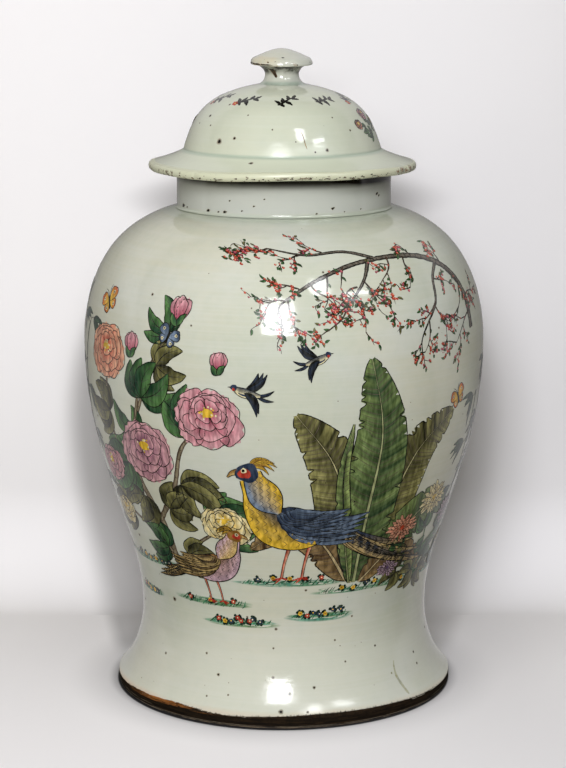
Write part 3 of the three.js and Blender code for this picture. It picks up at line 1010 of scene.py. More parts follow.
foot_side = line((FOOT_RADIUS, FOOT_BEVEL), (FOOT_RADIUS, FOOT_BAND_HEIGHT), row=0.001)
foot_skin = Skin([foot_side, flare_rows], jar_wobble)
burnt = Brushwork(foot_skin)
streaks = chance.random((9, 1)) * 0.8 + chance.random((9, 181)) * 0.4
for column in range(0, 180, BURNT_COLUMNS):
    turns = np.arange(column, column + BURNT_COLUMNS + 1) * 2
    across = (turns - turns[0]) * math.radians(1) * FOOT_RADIUS / MM
    tops = np.interp([band_top(turn) * MM for turn in turns], foot_skin.heights, foot_skin.far) / MM
    burnt.start(turns[0], BURNT_START_MM)
    corner = np.minimum(FOOT_BAND_HEIGHT / MM - BURNT_START_MM, tops * 0.85)
    rows = np.linspace(0.1, 1, 7)[:, None] * corner
    grid = across + 1j * np.vstack([rows, (corner + tops) / 2, tops])
    shares = streaks[:, column:column + BURNT_COLUMNS + 1] ** 2
    burnt.mark(grid, blend(FOOT_DARK, FOOT_BROWN, shares), 0.95)
for turn in np.arange(0, 360, 0.42):
    top = band_top(turn)
    burnt.start(turn + chance.normal(0, 0.2), top)
    tall, low = chance.uniform(0.3, 1.1) ** 1.4, chance.uniform(-2.8, -1.2) * min(1, top / 6)
    tone = blend(FOOT_DARK, FOOT_BROWN, chance.random())
    fibre = [1j * low, 0.1 + 0.3j * tall, chance.normal(0, 0.2) + 1j * tall]
    burnt.stroke(fibre, chance.uniform(0.5, 1.1), tone, 0.95, 0.1, 0.7)
for turn in np.arange(0, 360, 1.1):
    turn = turn + chance.normal(0, 2)
    burnt.start(turn, chance.uniform(1.4, max(1.6, band_top(turn) - 0.6)))
    reach = chance.uniform(2, 9)
    tone = blend(FOOT_DARK, FOOT_BROWN, chance.random() * 1.3)
    burnt.stroke([-reach, 0.1j, reach], chance.uniform(0.3, 0.8), tone, 0.9, 0.2, 0.4, above=0.012)
for turn in chance.normal(-52, 13, 190):
    burnt.start(turn, max(1.5, band_top(turn) + 0.4 - chance.uniform(0, 2.0)))
    reach = chance.uniform(1.5, 5)
    tone = blend(FOOT_RUST, FOOT_BROWN, min(1, chance.random() * 0.5 + abs(turn + 46) / 26))
    burnt.stroke([-reach, 0.1j, reach], chance.uniform(0.4, 0.9), tone, 0.85, 0.3, 0.5, above=0.020)
for turn in np.arange(-40, 320, 9):
    burnt.start(turn + chance.normal(0, 3), 1.5 if turn < 60 else 2.6)
    reach = chance.uniform(6, 20)
    cover = chance.uniform(0.3, 0.6)
    burnt.stroke([-reach, 0.08j, reach], 0.3, FOOT_SCRATCH, cover, 0.3, 0.5, above=0.018)
burnt_finish = Finish("burnt_foot_edge", Specular_IOR_Level=0.08)
pigment = burnt_finish.node("VertexColor", {"layer_name": "pigment"}, out="Color")
grain = burnt_finish.noise(900, shift=5.0, detail=2)
burnt_finish.feed(burnt_finish.shader, {
    "Base Color": burnt_finish.node("VectorMath", {"operation": "SCALE"}, pigment, Scale=grain * 1.1 + 0.35),
    "Roughness": grain * 0.2 + 0.75,
})
burnt.done("foot_edge_burnt_grain", burnt_finish, "jar", "bare_stoneware")


# Iron specks on the neck
# Specks of burnt iron in the glaze of the collar. Many are larger than those on the body, and most
# of them lie low down.
NECK_SPECKS = [
    (-67, 351.4, 3.2), (-62, 351, 1.4), (-43, 351, 2.3), (-36, 350.8, 1.3), (-32, 351, 2.2),
    (-22, 352.5, 1.1), (-15.5, 356, 1.2), (26, 354, 1.9), (58, 361, 2.2), (60, 359.5, 1.6),
    (-10, 361, 1.0), (17, 350.8, 1.2), (-29, 359, 1.1), (44, 352, 1.0), (33, 351.2, 0.9),
]
neck_marks = Brushwork(Skin([line(*neck_face)], jar_wobble))
for turn, height, size in NECK_SPECKS:
    neck_marks.start(turn, height)
    neck_marks.spot(0, size * 0.95, SPECK_HALO, 0.5, 0.0, squash=0.6, tilt=20, ragged=0.2, above=0)
    neck_marks.spot(0, size * 0.65, SPECK, 0.97, 0.7, squash=0.6, tilt=20, ragged=0.25)
neck_marks.done("neck_iron_specks", speck_finish, "jar", "celadon_glaze")


# Iron specks on the cover
# Specks of the same kind over the dome and the inner part of the brim, and a short brown hairline in
# the glaze at the foot of the dome.
STAIN = (0.30, 0.20, 0.075)
COVER_SPECKS = [
    (-46, 422, 0.9), (-58, 414, 1.1), (-40, 398, 1.9), (-29.5, 400.7, 1.1), (26.5, 393, 1.2),
    (19, 392, 0.7), (-16, 385.3, 1.5), (-6, 407, 0.6), (47, 405, 0.8), (-52, 408, 0.7), (8, 399, 0.5),
    (36, 414, 0.6), (-24, 416, 0.6),
]
cover_skin = Skin([brim_rows, dome_rows], cover_wobble)
cover_marks = Brushwork(cover_skin)
scattered = chance.uniform((60, 383, 0.3), (300, 430, 0.9), (26, 3))
for turn, height, size in [*COVER_SPECKS, *scattered]:
    cover_marks.start(turn, height)
    cover_marks.spot(0, size * 1.3, SPECK_HALO, 0.5, 0.0, above=0)
    cover_marks.spot(0, size * 0.7, SPECK, 0.97, 0.7)
cover_marks.start(14, 394)
cover_marks.stroke([0.4, -0.7 + 4j, -1.6 + 9j, -3 + 13j], 0.7, STAIN, 0.9)
cover_marks.stroke([-0.6 + 4.6j, -1.6 + 9j, -2.3 + 11j], 0.5, SPECK_HALO, 0.8, above=0.012)
cover_marks.done("cover_iron_specks", speck_finish, "cover", "celadon_glaze")


# Chips along the lip
# The thin lip has lost flakes of glaze, most of them on the right, where the clay shows. Pinholes
# and short dark dashes lie along its lower edge.
CHIP = (0.42, 0.31, 0.19)
LIP_CHIPS = [
    (57, 377.6, 1.6), (61, 378.6, 2.4), (66, 377.2, 1.8), (70, 378.4, 2.2), (76, 377.8, 1.5),
    (-78, 378.0, 1.2),
]
lip_marks = Brushwork(Skin([arc(lip_centre, LIP_RADIUS, -90, 90, 24, lip_rise)], cover_wobble))
for turn in np.concatenate([chance.normal(8, 34, 110), chance.uniform(60, 300, 70)]):
    lip_marks.start(turn, chance.uniform(375.2, 377.4))
    size, tone = chance.uniform(0.3, 1.1) ** 1.5, blend(SPECK, SPECK_HALO, chance.random() * 0.8)
    lip_marks.spot(0, size * 0.9, tone, 0.95, 0.6, squash=0.5, ragged=0.25)
for turn in chance.choice([-30, -27, 0, 4, 8, 11, 21, 28, 42], 34) + chance.normal(0, 1.6, 34):
    lip_marks.start(turn, chance.uniform(375.6, 377.0))
    reach = chance.uniform(0.6, 2.0)
    width, tone = chance.uniform(0.3, 0.7), blend(SPECK, SPECK_HALO, chance.random())
    lip_marks.stroke([-reach, 0.1j, reach], width, tone, 0.6, 0.3, 0.4)
for turn, height, size in LIP_CHIPS:
    lip_marks.start(turn, height)
    lip_marks.spot(0, size * 1.3, CHIP, 0.7, 0.1, squash=0.6, ragged=0.3, above=0)
    lip_marks.spot(0.3 * size, size * 0.5, SPECK_HALO, 0.95, 0.7, squash=0.5, ragged=0.3)
lip_marks.done("lip_chips_and_specks", speck_finish, "cover", "celadon_glaze")


# Stains on the knob
# Specks on the cap, dark dashes along its edge on the left, smears beneath the edge, and a dark drip
# with a browner rim that has run down the stem.
DRIP_DARK, DRIP_BROWN = (0.016, 0.008, 0.003), (0.15, 0.07, 0.022)
KNOB_SMEARS = [
    (-44, 446.6), (-38, 446), (-33, 445.4), (-24, 446), (34, 447), (40, 446.4), (47, 446.8), (55, 447.2),
]
knob_marks = Brushwork(Skin(knob_rows, knob_wobble))
for turn, height, wide, tone in [
    (3, 455.2, 1.0, SPECK), (-26, 452.4, 0.8, SPECK_HALO), (66, 452, 0.6, SPECK),
    (-12, 453.0, 0.4, SPECK), (30, 450.8, 0.6, SPECK), (-86, 452.8, 0.9, SPECK),
    (-78, 453.2, 0.6, SPECK_HALO), (-40, 451, 0.5, SPECK_HALO),
]:
    knob_marks.start(turn, height)
    knob_marks.spot(0, wide, tone, 0.96, 0.5, squash=0.7, ragged=0.25)
for turn in chance.uniform(-92, -22, 46):
    knob_marks.start(turn, 450.1 + chance.uniform(0, 0.6 + 0.016 * max(0, -turn - 20)))
    reach = chance.uniform(0.8, 2.6)
    width, tone = chance.uniform(0.35, 0.75), blend(SPECK, SPECK_HALO, chance.random() * 0.5)
    knob_marks.stroke([-reach, 0.2j, reach], width, tone, 0.95, 0.3, 0.5)
for turn, height in KNOB_SMEARS:
    knob_marks.start(turn, height)
    tone = blend(SPECK, SPECK_HALO, chance.random() * 0.4)
    knob_marks.stroke([0.8j, 0.2 + 0j, -1.6j], 1.3, tone, 0.4, 0.2, 0.9)
for across in np.arange(-1.4, 1.5, 0.4):
    knob_marks.start(-24, 444.3)
    end = 0.9 + across * 0.6 - 5.4j + 0.6j * abs(across)
    drip = [across * 1.5 - 2.4 + 2.6j, across - 1.6 + 1j, across * 0.8 - 0.3 - 2j, end]
    tone = blend(DRIP_DARK, DRIP_BROWN, abs(across) ** 2 / 2.6)
    knob_marks.stroke(drip, 0.85, tone, 0.95, 0.05, 0.6, above=0.05 - 0.02 * abs(across))
knob_marks.done("knob_stains", speck_finish, "cover", "celadon_glaze")


# Peony shrub
# Painted over the fired glaze and fired again at a lower heat: broad rose, coral and pale yellow
# flowers on woody stems, with iron-black outlines and shaded green leaves.
INK = (0.007, 0.006, 0.004)
INK_BROWN = (0.070, 0.040, 0.026)
ROSE, ROSE_PALE = (0.36, 0.045, 0.095), (0.68, 0.37, 0.40)
CORAL, CORAL_PALE = (0.55, 0.065, 0.028), (0.72, 0.39, 0.25)
MAUVE, MAUVE_PALE = (0.19, 0.055, 0.12), (0.56, 0.38, 0.45)
YELLOW, CREAM = (0.70, 0.44, 0.035), (0.76, 0.68, 0.42)
LEAF_DARK, LEAF_PALE = (0.005, 0.040, 0.018), (0.100, 0.225, 0.066)
OLIVE_DARK, OLIVE_PALE = (0.021, 0.020, 0.006), (0.29, 0.27, 0.095)
TWIG_PALE = (0.30, 0.25, 0.16)


class Garden(Brushwork):
    """Brushwork with the painter's stock of plant and animal forms."""

    def leaf(self, base, tip, width, deep, pale, bow=0.1, veins=4, shape=0.75, line=0.62):
        """A pointed leaf, shaded across its rib, with its outline, rib and veins in ink."""
        t, v = np.linspace(0, 1, 13), np.linspace(-1, 1, 7)
        rib = base + (tip - base) * (t + 1j * bow * np.sin(np.pi * t))
        half = width / 2 * np.clip(np.sin(np.pi * t**shape), 0.03, 1) ** 0.85
        half = half * (1 + 0.08 * np.sin(t * chance.uniform(9, 16) + chance.uniform(0, 6)))
        side = sideways(rib) * half
        grid = rib[:, None] + side[:, None] * v
        lit = chance.choice([-1, 1])
        shade = 0.40 + 0.40 * lit * v + 0.35 * (t[:, None] - 0.5) + 0.14 * np.sin(9 * t[:, None] + 3 * v)
        self.mark(grid, blend(deep, pale, shade), 0.93)
        for edge in (0, -1):
            self.stroke(grid[::2, edge], line, INK, 0.92, 0.1, 0.1)
        if veins:
            self.stroke(rib[:-2:3], line, INK, 0.88, 0.1, 0.5)
        for share in np.linspace(0.16, 0.72, veins) if veins else []:
            root = np.interp(share, t, rib.real) + 1j * np.interp(share, t, rib.imag)
            k = min(12, int(share * 12 + 3))
            for edge in (-0.82, 0.82):
                self.stroke([root, rib[k] + side[k] * edge], line * 0.6, INK, 0.7, 0.1, 0.6)
        self.lift += 0.004 + 0.0005 * width * abs(self.scale)

    def petal(self, base, tip, width, deep, pale, line=0.55, notch=0.16, veins=3):
        """A broad petal with a waved rim, deep at its base and pale at its edge."""
        t, v = np.linspace(0.05, 1, 8)[:, None], np.linspace(-1, 1, 9)
        ray = tip - base
        phase = chance.uniform(0, 6)
        reach = 1 - notch * v**2 + 0.045 * np.cos(3.1 * np.pi * v + phase)
        spread = np.sin(np.pi / 2 * np.minimum(1, t * 1.15)) ** 0.9
        spread = spread * (1 - 0.22 * np.clip((t - 0.72) / 0.28, 0, 1) ** 2)
        grid = base + ray * t * reach + 1j * ray / abs(ray) * width / 2 * spread * v
        shade = t**1.5 * (1.05 - 0.25 * np.abs(v)) + 0.10 * np.sin(8 * v + phase)
        self.mark(grid, blend(deep, pale, shade), 0.94)
        rim = np.concatenate([grid[::2, 0], grid[-1, 1:-1:2], grid[::-2, -1]])
        self.stroke(rim, line, INK, 0.88, 0.1, 0.1)
        for k in (2, 4, 6)[:veins]:
            self.stroke([grid[0, k], grid[3, k], grid[5, k]], line * 0.6, deep, 0.75, 0.1, 0.7)
        self.lift += 0.010

    def peony(self, centre, radius, deep, pale, face=0.8, lean=0.0):
        """Four rings of petals round a tuft of stamens, outermost first."""
        kept = self.lift
        rings = [(7, 1.0, 1.0), (6, 0.80, 0.86), (6, 0.60, 0.62), (4, 0.40, 0.48)]
        for ring, (count, reach, wide) in enumerate(rings):
            for i in range(count):
                angle = 2 * np.pi * (i + 0.5 * ring) / count + chance.normal(0, 0.10) + lean
                ray = (np.cos(angle) + 1j * face * np.sin(angle)) * radius * reach * chance.uniform(0.9, 1.06)
                start = centre + 0.07j * radius * ring
                width = radius * wide * chance.uniform(0.85, 1.0)
                self.petal(start + ray * 0.08, start + ray, width, deep, pale)
        heart = centre + 0.16j * radius
        self.spot(heart, radius * 0.17, YELLOW, 0.95, squash=0.7)
        for angle in chance.uniform(0, 2 * np.pi, 14):
            grain = heart + radius * chance.uniform(0.1, 0.24) * np.exp(1j * angle)
            self.spot(grain, 0.5, chance.choice([YELLOW, CREAM]), 0.95, above=0.012)
        self.lift = kept

    def stem(self, points, thick, dark=INK_BROWN, light=TWIG_PALE, thin_to=0.5):
        """A woody stem: a washed core between two dark edges, with knots along it."""
        path = soft(points)
        t = np.linspace(0, 1, len(path))
        half = thick / 2 * (1 - (1 - thin_to) * t) * chance.uniform(0.86, 1.14, len(path))
        side = sideways(path) * half
        across = np.array([0.95, 0.4, 0.1, 0.5, 1.0]) + chance.normal(0, 0.12, (len(path), 5))
        self.mark(path[:, None] + side[:, None] * np.linspace(-1, 1, 5), blend(light, dark, across), 0.88)
        for edge, width in ((-1, 0.6), (1, 0.85)):
            self.stroke((path + side * edge)[::2], width * min(1, thick / 2), dark, 0.92, 0.05, 0.2)
        for k in range(3, len(path) - 2, 5):
            if thick > 1.6:
                knot = [path[k] - side[k] * 0.6, path[k] + side[k] * (0.2 + 0.5j), path[k] + side[k] * 0.9]
                self.stroke(knot, 0.5, dark, 0.85)
        self.lift += 0.006

    def spray(self, base, heading, count, length, width, tones, **leaf_kind):
        """A fan of leaves from one place, outer ones first, all in the layer that it starts in."""
        kept = self.lift
        for angle in sorted(np.linspace(-0.9, 0.9, count), key=lambda a: -abs(a)):
            far = length * chance.uniform(0.8, 1.08) * (1 - 0.18 * abs(angle))
            ray = far * np.exp(1j * (math.radians(heading) + angle + chance.normal(0, 0.06)))
            bow = 0.16 * np.sign(angle + 0.01)
            self.leaf(base, base + ray, width * chance.uniform(0.85, 1.1), *tones, bow=bow, **leaf_kind)
        self.lift = kept


green, olive = (LEAF_DARK, LEAF_PALE), (OLIVE_DARK, OLIVE_PALE)
enamel = painted_finish("overglaze_enamel", 0.15)
peonies = Garden(jar_skin, 0.06)
peonies.start(-45, 108, size=1.5)
for points, thick in [
    ([6 + 0j, 3 + 22j, -6 + 44j, -4 + 66j, 6 + 88j], 3.4), ([3 + 24j, 16 + 42j, 24 + 62j, 36 + 74j], 2.6),
    ([-5 + 42j, -18 + 56j, -24 + 76j, -21 + 98j], 2.4), ([9 + 2j, 22 + 14j, 38 + 24j], 2.0),
    ([-4 + 66j, 4 + 90j, 16 + 108j, 22 + 122j], 1.6), ([4 + 6j, -10 + 18j, -28 + 26j], 1.8),
]:
    peonies.stem(points, thick)
peonies.lift = 0.08
for base, heading, count, length, width, tones in [
    (34 + 26j, 10, 5, 24, 11, green), (20 + 44j, -40, 5, 24, 10, olive), (-12 + 50j, 205, 5, 26, 11, green),
    (-22 + 74j, 170, 5, 22, 10, olive), (4 + 84j, 60, 5, 25, 11, green), (-6 + 34j, 220, 4, 22, 10, olive),
    (30 + 70j, 75, 4, 23, 10, green), (10 + 30j, 20, 4, 18, 8, olive), (20 + 116j, 130, 4, 17, 7, green),
    (2 + 8j, 160, 4, 18, 8, green), (-24 + 24j, 190, 4, 20, 9, olive), (14 + 6j, 350, 4, 17, 8, olive),
    (-2 + 66j, 140, 3, 20, 9, green), (14 + 100j, 10, 4, 19, 8, olive),
]:
    peonies.spray(base, heading, count, length, width, tones)
for centre, radius, deep, pale, face, lean in [
    (40 + 78j, 17.5, ROSE, ROSE_PALE, 0.8, 0.3), (-22 + 102j, 16.5, CORAL, CORAL_PALE, 0.8, 0.9),
    (2 + 58j, 18.5, MAUVE, ROSE_PALE, 0.8, 1.4), (38 + 25j, 13.0, YELLOW, CREAM, 0.72, 0.0),
    (-30 + 46j, 12.5, ROSE, ROSE_PALE, 0.72, 0.5), (-28 + 22j, 9.5, YELLOW, CREAM, 0.72, 1.0),
]:
    peonies.lift = 0.17
    peonies.peony(centre, radius, deep, pale, face, lean)
for bud, radius in ((24 + 126j, 6.5), (-2 + 108j, 5.5), (46 + 104j, 5)):
    for turned in (-0.5, 0.5, 0.0):
        tip = bud + radius * np.exp(1j * (np.pi / 2 - turned))
        peonies.petal(bud - 1j * radius, tip, radius * 1.1, ROSE, ROSE_PALE, veins=1)
    for way in (-1, 1):
        peonies.leaf(bud - 1.1j * radius, bud + radius * (0.6 * way - 0.2j), 3, *green, veins=0)
peonies.done("peony_shrub_painting", enamel, "jar", "overglaze_enamel")


# Plantain clump
# Broad leaves, washed in strokes that slant from the rib and torn along them, some gone olive
# and brown with age.
def frond(brush, points, width, deep, pale):
    """A plantain leaf along a curve, with pairs of torn notches down its sides."""
    rib = soft(points, 1.2)
    rows, t, v = len(rib), np.linspace(0, 1, len(rib)), np.linspace(-1, 1, 13)
    half = width / 2 * np.clip(np.sin(np.pi * t**0.72), 0.02, 1) ** 0.6
    side = sideways(rib)
    torn = 0.24 * (chance.random((rows, 2)) < 0.10)
    reach = np.where(abs(v) > 0.6, 1 - np.where(v < 0, torn[:, :1], torn[:, 1:]), 1)
    slant = -1j * (side * half)[:, None] * 0.5 * abs(v) ** 1.3
    grid = rib[:, None] + (side * half)[:, None] * v * reach + slant
    wash = chance.normal(0, 0.34, (rows, 2))
    wash[1:] = 0.55 * wash[1:] + 0.45 * wash[:-1]
    streak = np.where(v < 0, wash[:, :1], wash[:, 1:]) * (0.3 + 0.9 * abs(v))
    shade = 0.22 + 0.50 * abs(v) + 0.20 * v * chance.choice([-1, 1]) + streak
    brush.mark(grid, blend(deep, pale, shade), 0.95)
    for edge in (0, -1):
        brush.stroke(grid[::2, edge], 0.75, INK, 0.92, 0.05, 0.05)
    for k in range(3, rows - 3, 3):
        for ends in ([6, 8, 10, 12], [6, 4, 2, 0]):
            if chance.random() < 0.8:
                brush.stroke(grid[k, ends], 0.42, INK_BROWN, 0.75, 0.1, 0.5)
    core = np.clip(width / 22 * (1 - t), 0.25, 1.2)
    midrib = rib[:, None] + (side * core)[:, None] * [-1, 0, 1]
    brush.mark(midrib, blend(pale, CREAM, 0.3 + 0 * t)[:, None], 0.95, 0.012)
    for shift in (-1, 1):
        brush.stroke((rib + shift * side * core)[:-1:3], 0.5, INK, 0.9, 0.1, 0.3, above=0.018)
    brush.lift += 0.024


PLANTAIN_DEEP, PLANTAIN_PALE = (0.010, 0.036, 0.014), (0.19, 0.26, 0.085)
BROWN_DEEP, BROWN_PALE = (0.065, 0.032, 0.012), (0.36, 0.24, 0.10)
SHOOT_PALE = (0.30, 0.38, 0.12)
plantain = Garden(jar_skin, 0.06)
plantain.start(25, 98)
for points, width, deep, pale in [
    ([0j, -10 + 50j, -26 + 96j, -54 + 132j], 42, OLIVE_DARK, OLIVE_PALE),
    ([6 + 0j, 18 + 50j, 40 + 98j, 76 + 124j], 42, OLIVE_DARK, OLIVE_PALE),
    ([8 + 2j, 36 + 36j, 66 + 54j, 92 + 42j], 32, PLANTAIN_DEEP, PLANTAIN_PALE),
    ([-4 + 2j, -26 + 34j, -50 + 48j, -74 + 30j], 28, BROWN_DEEP, BROWN_PALE),
    ([2 + 0j, 4 + 58j, 8 + 116j, -2 + 168j], 46, PLANTAIN_DEEP, PLANTAIN_PALE),
    ([-2 + 0j, -12 + 46j, -18 + 88j, -14 + 124j], 11, PLANTAIN_DEEP, SHOOT_PALE),
    ([6 + 0j, 28 + 20j, 50 + 16j, 66 - 2j], 20, BROWN_DEEP, BROWN_PALE),
]:
    frond(plantain, points, width, deep, pale)
plantain.done("plantain_painting", enamel, "jar", "overglaze_enamel")


# Chrysanthemums
# Yellow, mauve and coral flowers of narrow curling petals, by the plantain's foot.
def chrysanthemum(brush, centre, radius, deep, pale, face=0.82):
    """Four rings of narrow petals that curl in towards the heart, outermost first."""
    kept = brush.lift
    t, v = np.linspace(0.04, 1, 6), np.array([-1, -0.3, 0.3, 1])
    for count, reach in ((17, 1.0), (14, 0.78), (11, 0.56), (8, 0.34)):
        for i in range(count):
            angle = 2 * np.pi * (i + reach) / count + chance.normal(0, 0.07)
            ray = (np.cos(angle) + 1j * face * np.sin(angle)) * radius * reach * chance.uniform(0.88, 1.06)
            rib = centre + ray * (t + 1j * chance.uniform(-0.16, 0.16) * t**2)
            half = radius * 0.11 * np.sin(np.pi * np.minimum(t, 0.97) ** 1.7) ** 0.6 + 0.05
            grid = rib[:, None] + (sideways(rib) * half)[:, None] * v
            brush.mark(grid, blend(deep, pale, t[:, None] ** 1.2 + 0.15 * v), 0.94, 0.005 * (i % 2))
            rim = np.concatenate([grid[::2, 0], grid[-1, 1:-1], grid[::-2, -1]])
            brush.stroke(rim, 0.42, INK, 0.85, 0.1, 0.1, above=0.010)
        brush.lift += 0.018
    brush.spot(centre + 0.05j * radius, radius * 0.12, deep, 0.95)
    brush.lift = kept


PURPLE = (0.11, 0.06, 0.15)
daisies = Garden(jar_skin, 0.24)
daisies.start(55, 92, size=1.3)
for points in [
    [0j, 4 + 16j, 2 + 44j], [1 + 0j, 12 + 16j, 22 + 34j], [-2 + 0j, -12 + 18j, -18 + 34j],
    [2 + 0j, 20 + 8j, 34 + 14j], [0j, -8 + 8j, -20 + 10j],
]:
    daisies.stem(points, 1.2, *green)
for base, heading in [
    (3 + 14j, 60), (12 + 16j, -10), (-12 + 16j, 190), (18 + 26j, 40), (-16 + 24j, 150),
    (26 + 10j, -30), (0 + 4j, 200), (2 + 30j, 120), (8 + 2j, 330), (-14 + 6j, 230),
]:
    daisies.spray(base, heading, 4, 13, 6.0, green if heading < 180 else olive, veins=2, line=0.5)
daisies.lift = 0.30
for centre, radius, deep, pale, face in [
    (2 + 48j, 12.5, YELLOW, CREAM, 0.85), (24 + 36j, 11, PURPLE, MAUVE_PALE, 0.82),
    (-20 + 34j, 11, CORAL, CORAL_PALE, 0.8), (36 + 15j, 9, YELLOW, CREAM, 0.7),
    (-22 + 10j, 7.5, PURPLE, MAUVE_PALE, 0.7),
]:
    chrysanthemum(daisies, centre, radius, deep, pale, face)
daisies.done("chrysanthemum_painting", enamel, "jar", "overglaze_enamel")


# Pair of pheasants
# The cock stands in the middle in slate blue and yellow, the hen beside him in ochre and mauve.
SLATE, SLATE_PALE = (0.020, 0.034, 0.070), (0.17, 0.23, 0.33)
OCHRE, OCHRE_PALE = (0.26, 0.12, 0.022), (0.60, 0.42, 0.16)
IRON_RED = (0.44, 0.040, 0.022)


def form(brush, points, widths, upper, lower, line=0.7):
    """A rounded form along a curve, shaded from one side to the other. Returns its net of places."""
    path = soft(points, 1.0)
    thick = soft(np.arange(len(widths)) + 1j * np.array(widths), 0.1)
    half = np.interp(np.linspace(0, len(widths) - 1, len(path)), thick.real, thick.imag) / 2
    v = np.linspace(-1, 1, 9)
    grid = path[:, None] + (sideways(path) * half)[:, None] * v
    streak = chance.normal(0, 0.10, 9)
    brush.mark(grid, blend(lower, upper, 0.5 + 0.55 * v + streak + 0 * half[:, None]), 0.95)
    for edge in (0, -1):
        brush.stroke(grid[:, edge], line, INK, 0.92, 0.03, 0.03)
    brush.lift += 0.012
    return grid


def scales(brush, grid, first, last, tone):
    """Rows of small feather rims over a form, each row set half a step on from the one before."""
    for i in range(first, grid.shape[0] - last, 2):
        for j in range(1 + i // 2 % 2, 8, 2):
            at = grid[i, j]
            brush.stroke([at - 0.6 + 1.3j, at + 0.9, at - 0.6 - 1.3j], 0.42, tone, 0.8)


def pheasant(brush, back, breast, wing, tail, tail_length):
    """A long-tailed bird looking left, its feet on the paper's origin, drawn from tail to head."""
    rump = 17 + 24j
    for k, slope in enumerate((-36, -19, -31, -23, -27)):
        ray = tail_length * (0.66 + 0.085 * k) * np.exp(1j * math.radians(slope))
        brush.leaf(rump - 2, rump + ray, 5.0, *tail, bow=-0.10, veins=0, shape=0.6, line=0.6)
        brush.stroke([rump, rump + ray * (0.5 - 0.10j), rump + ray * 0.97], 0.5, INK, 0.9)
        for share in np.arange(0.12, 0.93, 0.075):
            middle = rump + ray * (share - 0.10j * np.sin(np.pi * share))
            brush.stroke([middle - 1.5 - 1.2j, middle + 0.6, middle - 1.0 + 1.6j], 0.7, INK, 0.85)
    for foot in (-3.0, 4.5):
        form(brush, [foot + 3 + 15j, foot + 1 + 7j, foot + 0.5j], [1.6, 1.0, 0.9], CORAL_PALE, IRON_RED, 0.4)
        for toe in (-3.5 - 0.6j, -2.2 - 1.8j, 2.4 - 0.4j):
            brush.stroke([foot + 0.6j, foot + toe], 1.3, IRON_RED, 0.95, 0.05, 0.4)
    spine = [19 + 23j, 12 + 23j, 3 + 22j, -6 + 24j, -12 + 31j, -14 + 38j, -15.5 + 43j]
    body = form(brush, spine, [5, 13, 18, 18, 13, 8, 6.5], breast, back)
    scales(brush, body, 4, 8, INK)
    coverts = ((-2 + 22j, 27, 6, 1.1), (-4 + 25j, 21, 6, 1.0), (-5 + 28j, 14, 5, 0.5))
    for start, length, count, rise in coverts:
        for k in range(count):
            base = start + k * (1.1 + 0.8j * rise)
            ray = length * np.exp(1j * math.radians(-14 + 3.2 * k))
            brush.leaf(base, base + ray, 4.6, *wing, bow=-0.08, veins=0, shape=0.55, line=0.5)
            brush.stroke([base + ray * 0.2, base + ray * (0.55 - 0.05j), base + ray * 0.92], 0.36, INK, 0.8)
    nape = [-4 + 29j, -7 + 33j, -10 + 37j, -13 + 42j, -14 + 46j]
    cape = form(brush, nape, [2, 10, 12, 9, 6], wing[1], breast)
    scales(brush, cape, 3, 2, back)
    for k, reach in enumerate((6, 8, 9, 8, 6)):
        plume = -14 + reach + (45 + 1.5 * k) * 1j
        brush.leaf(-15.5 + 48j, plume, 1.5, OCHRE, YELLOW, bow=0.22, veins=0, line=0.35)
    brush.spot(-16 + 45.5j, 4.4, back, 0.96, squash=0.88, above=0.008)
    brush.spot(-17 + 45.2j, 2.5, IRON_RED, 0.95, squash=0.8, above=0.014)
    brush.spot(-17.2 + 46.4j, 1.1, CREAM, 0.98, above=0.020)
    brush.spot(-17.4 + 46.4j, 0.6, INK, 0.98, above=0.026)
    form(brush, [-19.6 + 45.8j, -21.7 + 45.2j, -23.4 + 43.4j], [2.6, 1.8, 0.5], OCHRE_PALE, OCHRE, 0.5)


pheasants = Garden(jar_skin, 0.30)
pheasants.start(2, 104, size=1.85)
pheasant(pheasants, SLATE, YELLOW, (SLATE, SLATE_PALE), (SLATE, OCHRE_PALE), 52)
pheasants.lift = 0.42
pheasants.start(-25, 84, size=1.2, flip=True)
pheasant(pheasants, OCHRE, MAUVE_PALE, (BROWN_DEEP, OCHRE_PALE), (BROWN_DEEP, OCHRE_PALE), 30)
pheasants.done("pheasant_pair_painting", enamel, "jar", "overglaze_enamel")


# Swallows
# Small dark birds with forked tails, in flight between the flowers.
def swallow(brush, turn, height, size, tilt, flip):
    """A bird in flight with a forked tail, one wing behind its body and one before it."""
    brush.start(turn, height, size, tilt, flip)
    brush.lift = 0.30

    def wing(shoulder, feathers, bow):
        for reach, slope in feathers:
            tip = shoulder + reach * np.exp(1j * math.radians(slope))
            brush.leaf(shoulder, tip, 3.4, INK, SLATE, bow=bow, veins=0, line=0.4)

    for tip in (15 + 5j, 16 - 1j):
        brush.leaf(6 + 0j, tip, 1.8, SLATE, INK, bow=-0.1, veins=0, line=0.4)
    wing(-1 + 1j, ((13, 66), (15, 58), (16, 50)), -0.14)
    spine = [8 + 0.4j, 3 + 0j, -3 + 0.2j, -7.5 + 1.4j]
    body = form(brush, spine, [1.6, 4.6, 5.2, 2.4], CREAM, SLATE, 0.5)
    brush.stroke(body[3:-3, 6], 1.3, SLATE, 0.95)
    wing(-1 + 0j, ((12, -36), (14, -44), (15, -52)), 0.14)
    brush.spot(-7.5 + 1.6j, 1.9, SLATE, 0.96, above=0.010)
    brush.spot(-7.4 + 0.6j, 0.9, IRON_RED, 0.95, above=0.016)
    brush.stroke([-9.0 + 1.5j, -11.0 + 1.1j], 0.8, INK, 0.95, 0.05, 0.8, above=0.016)


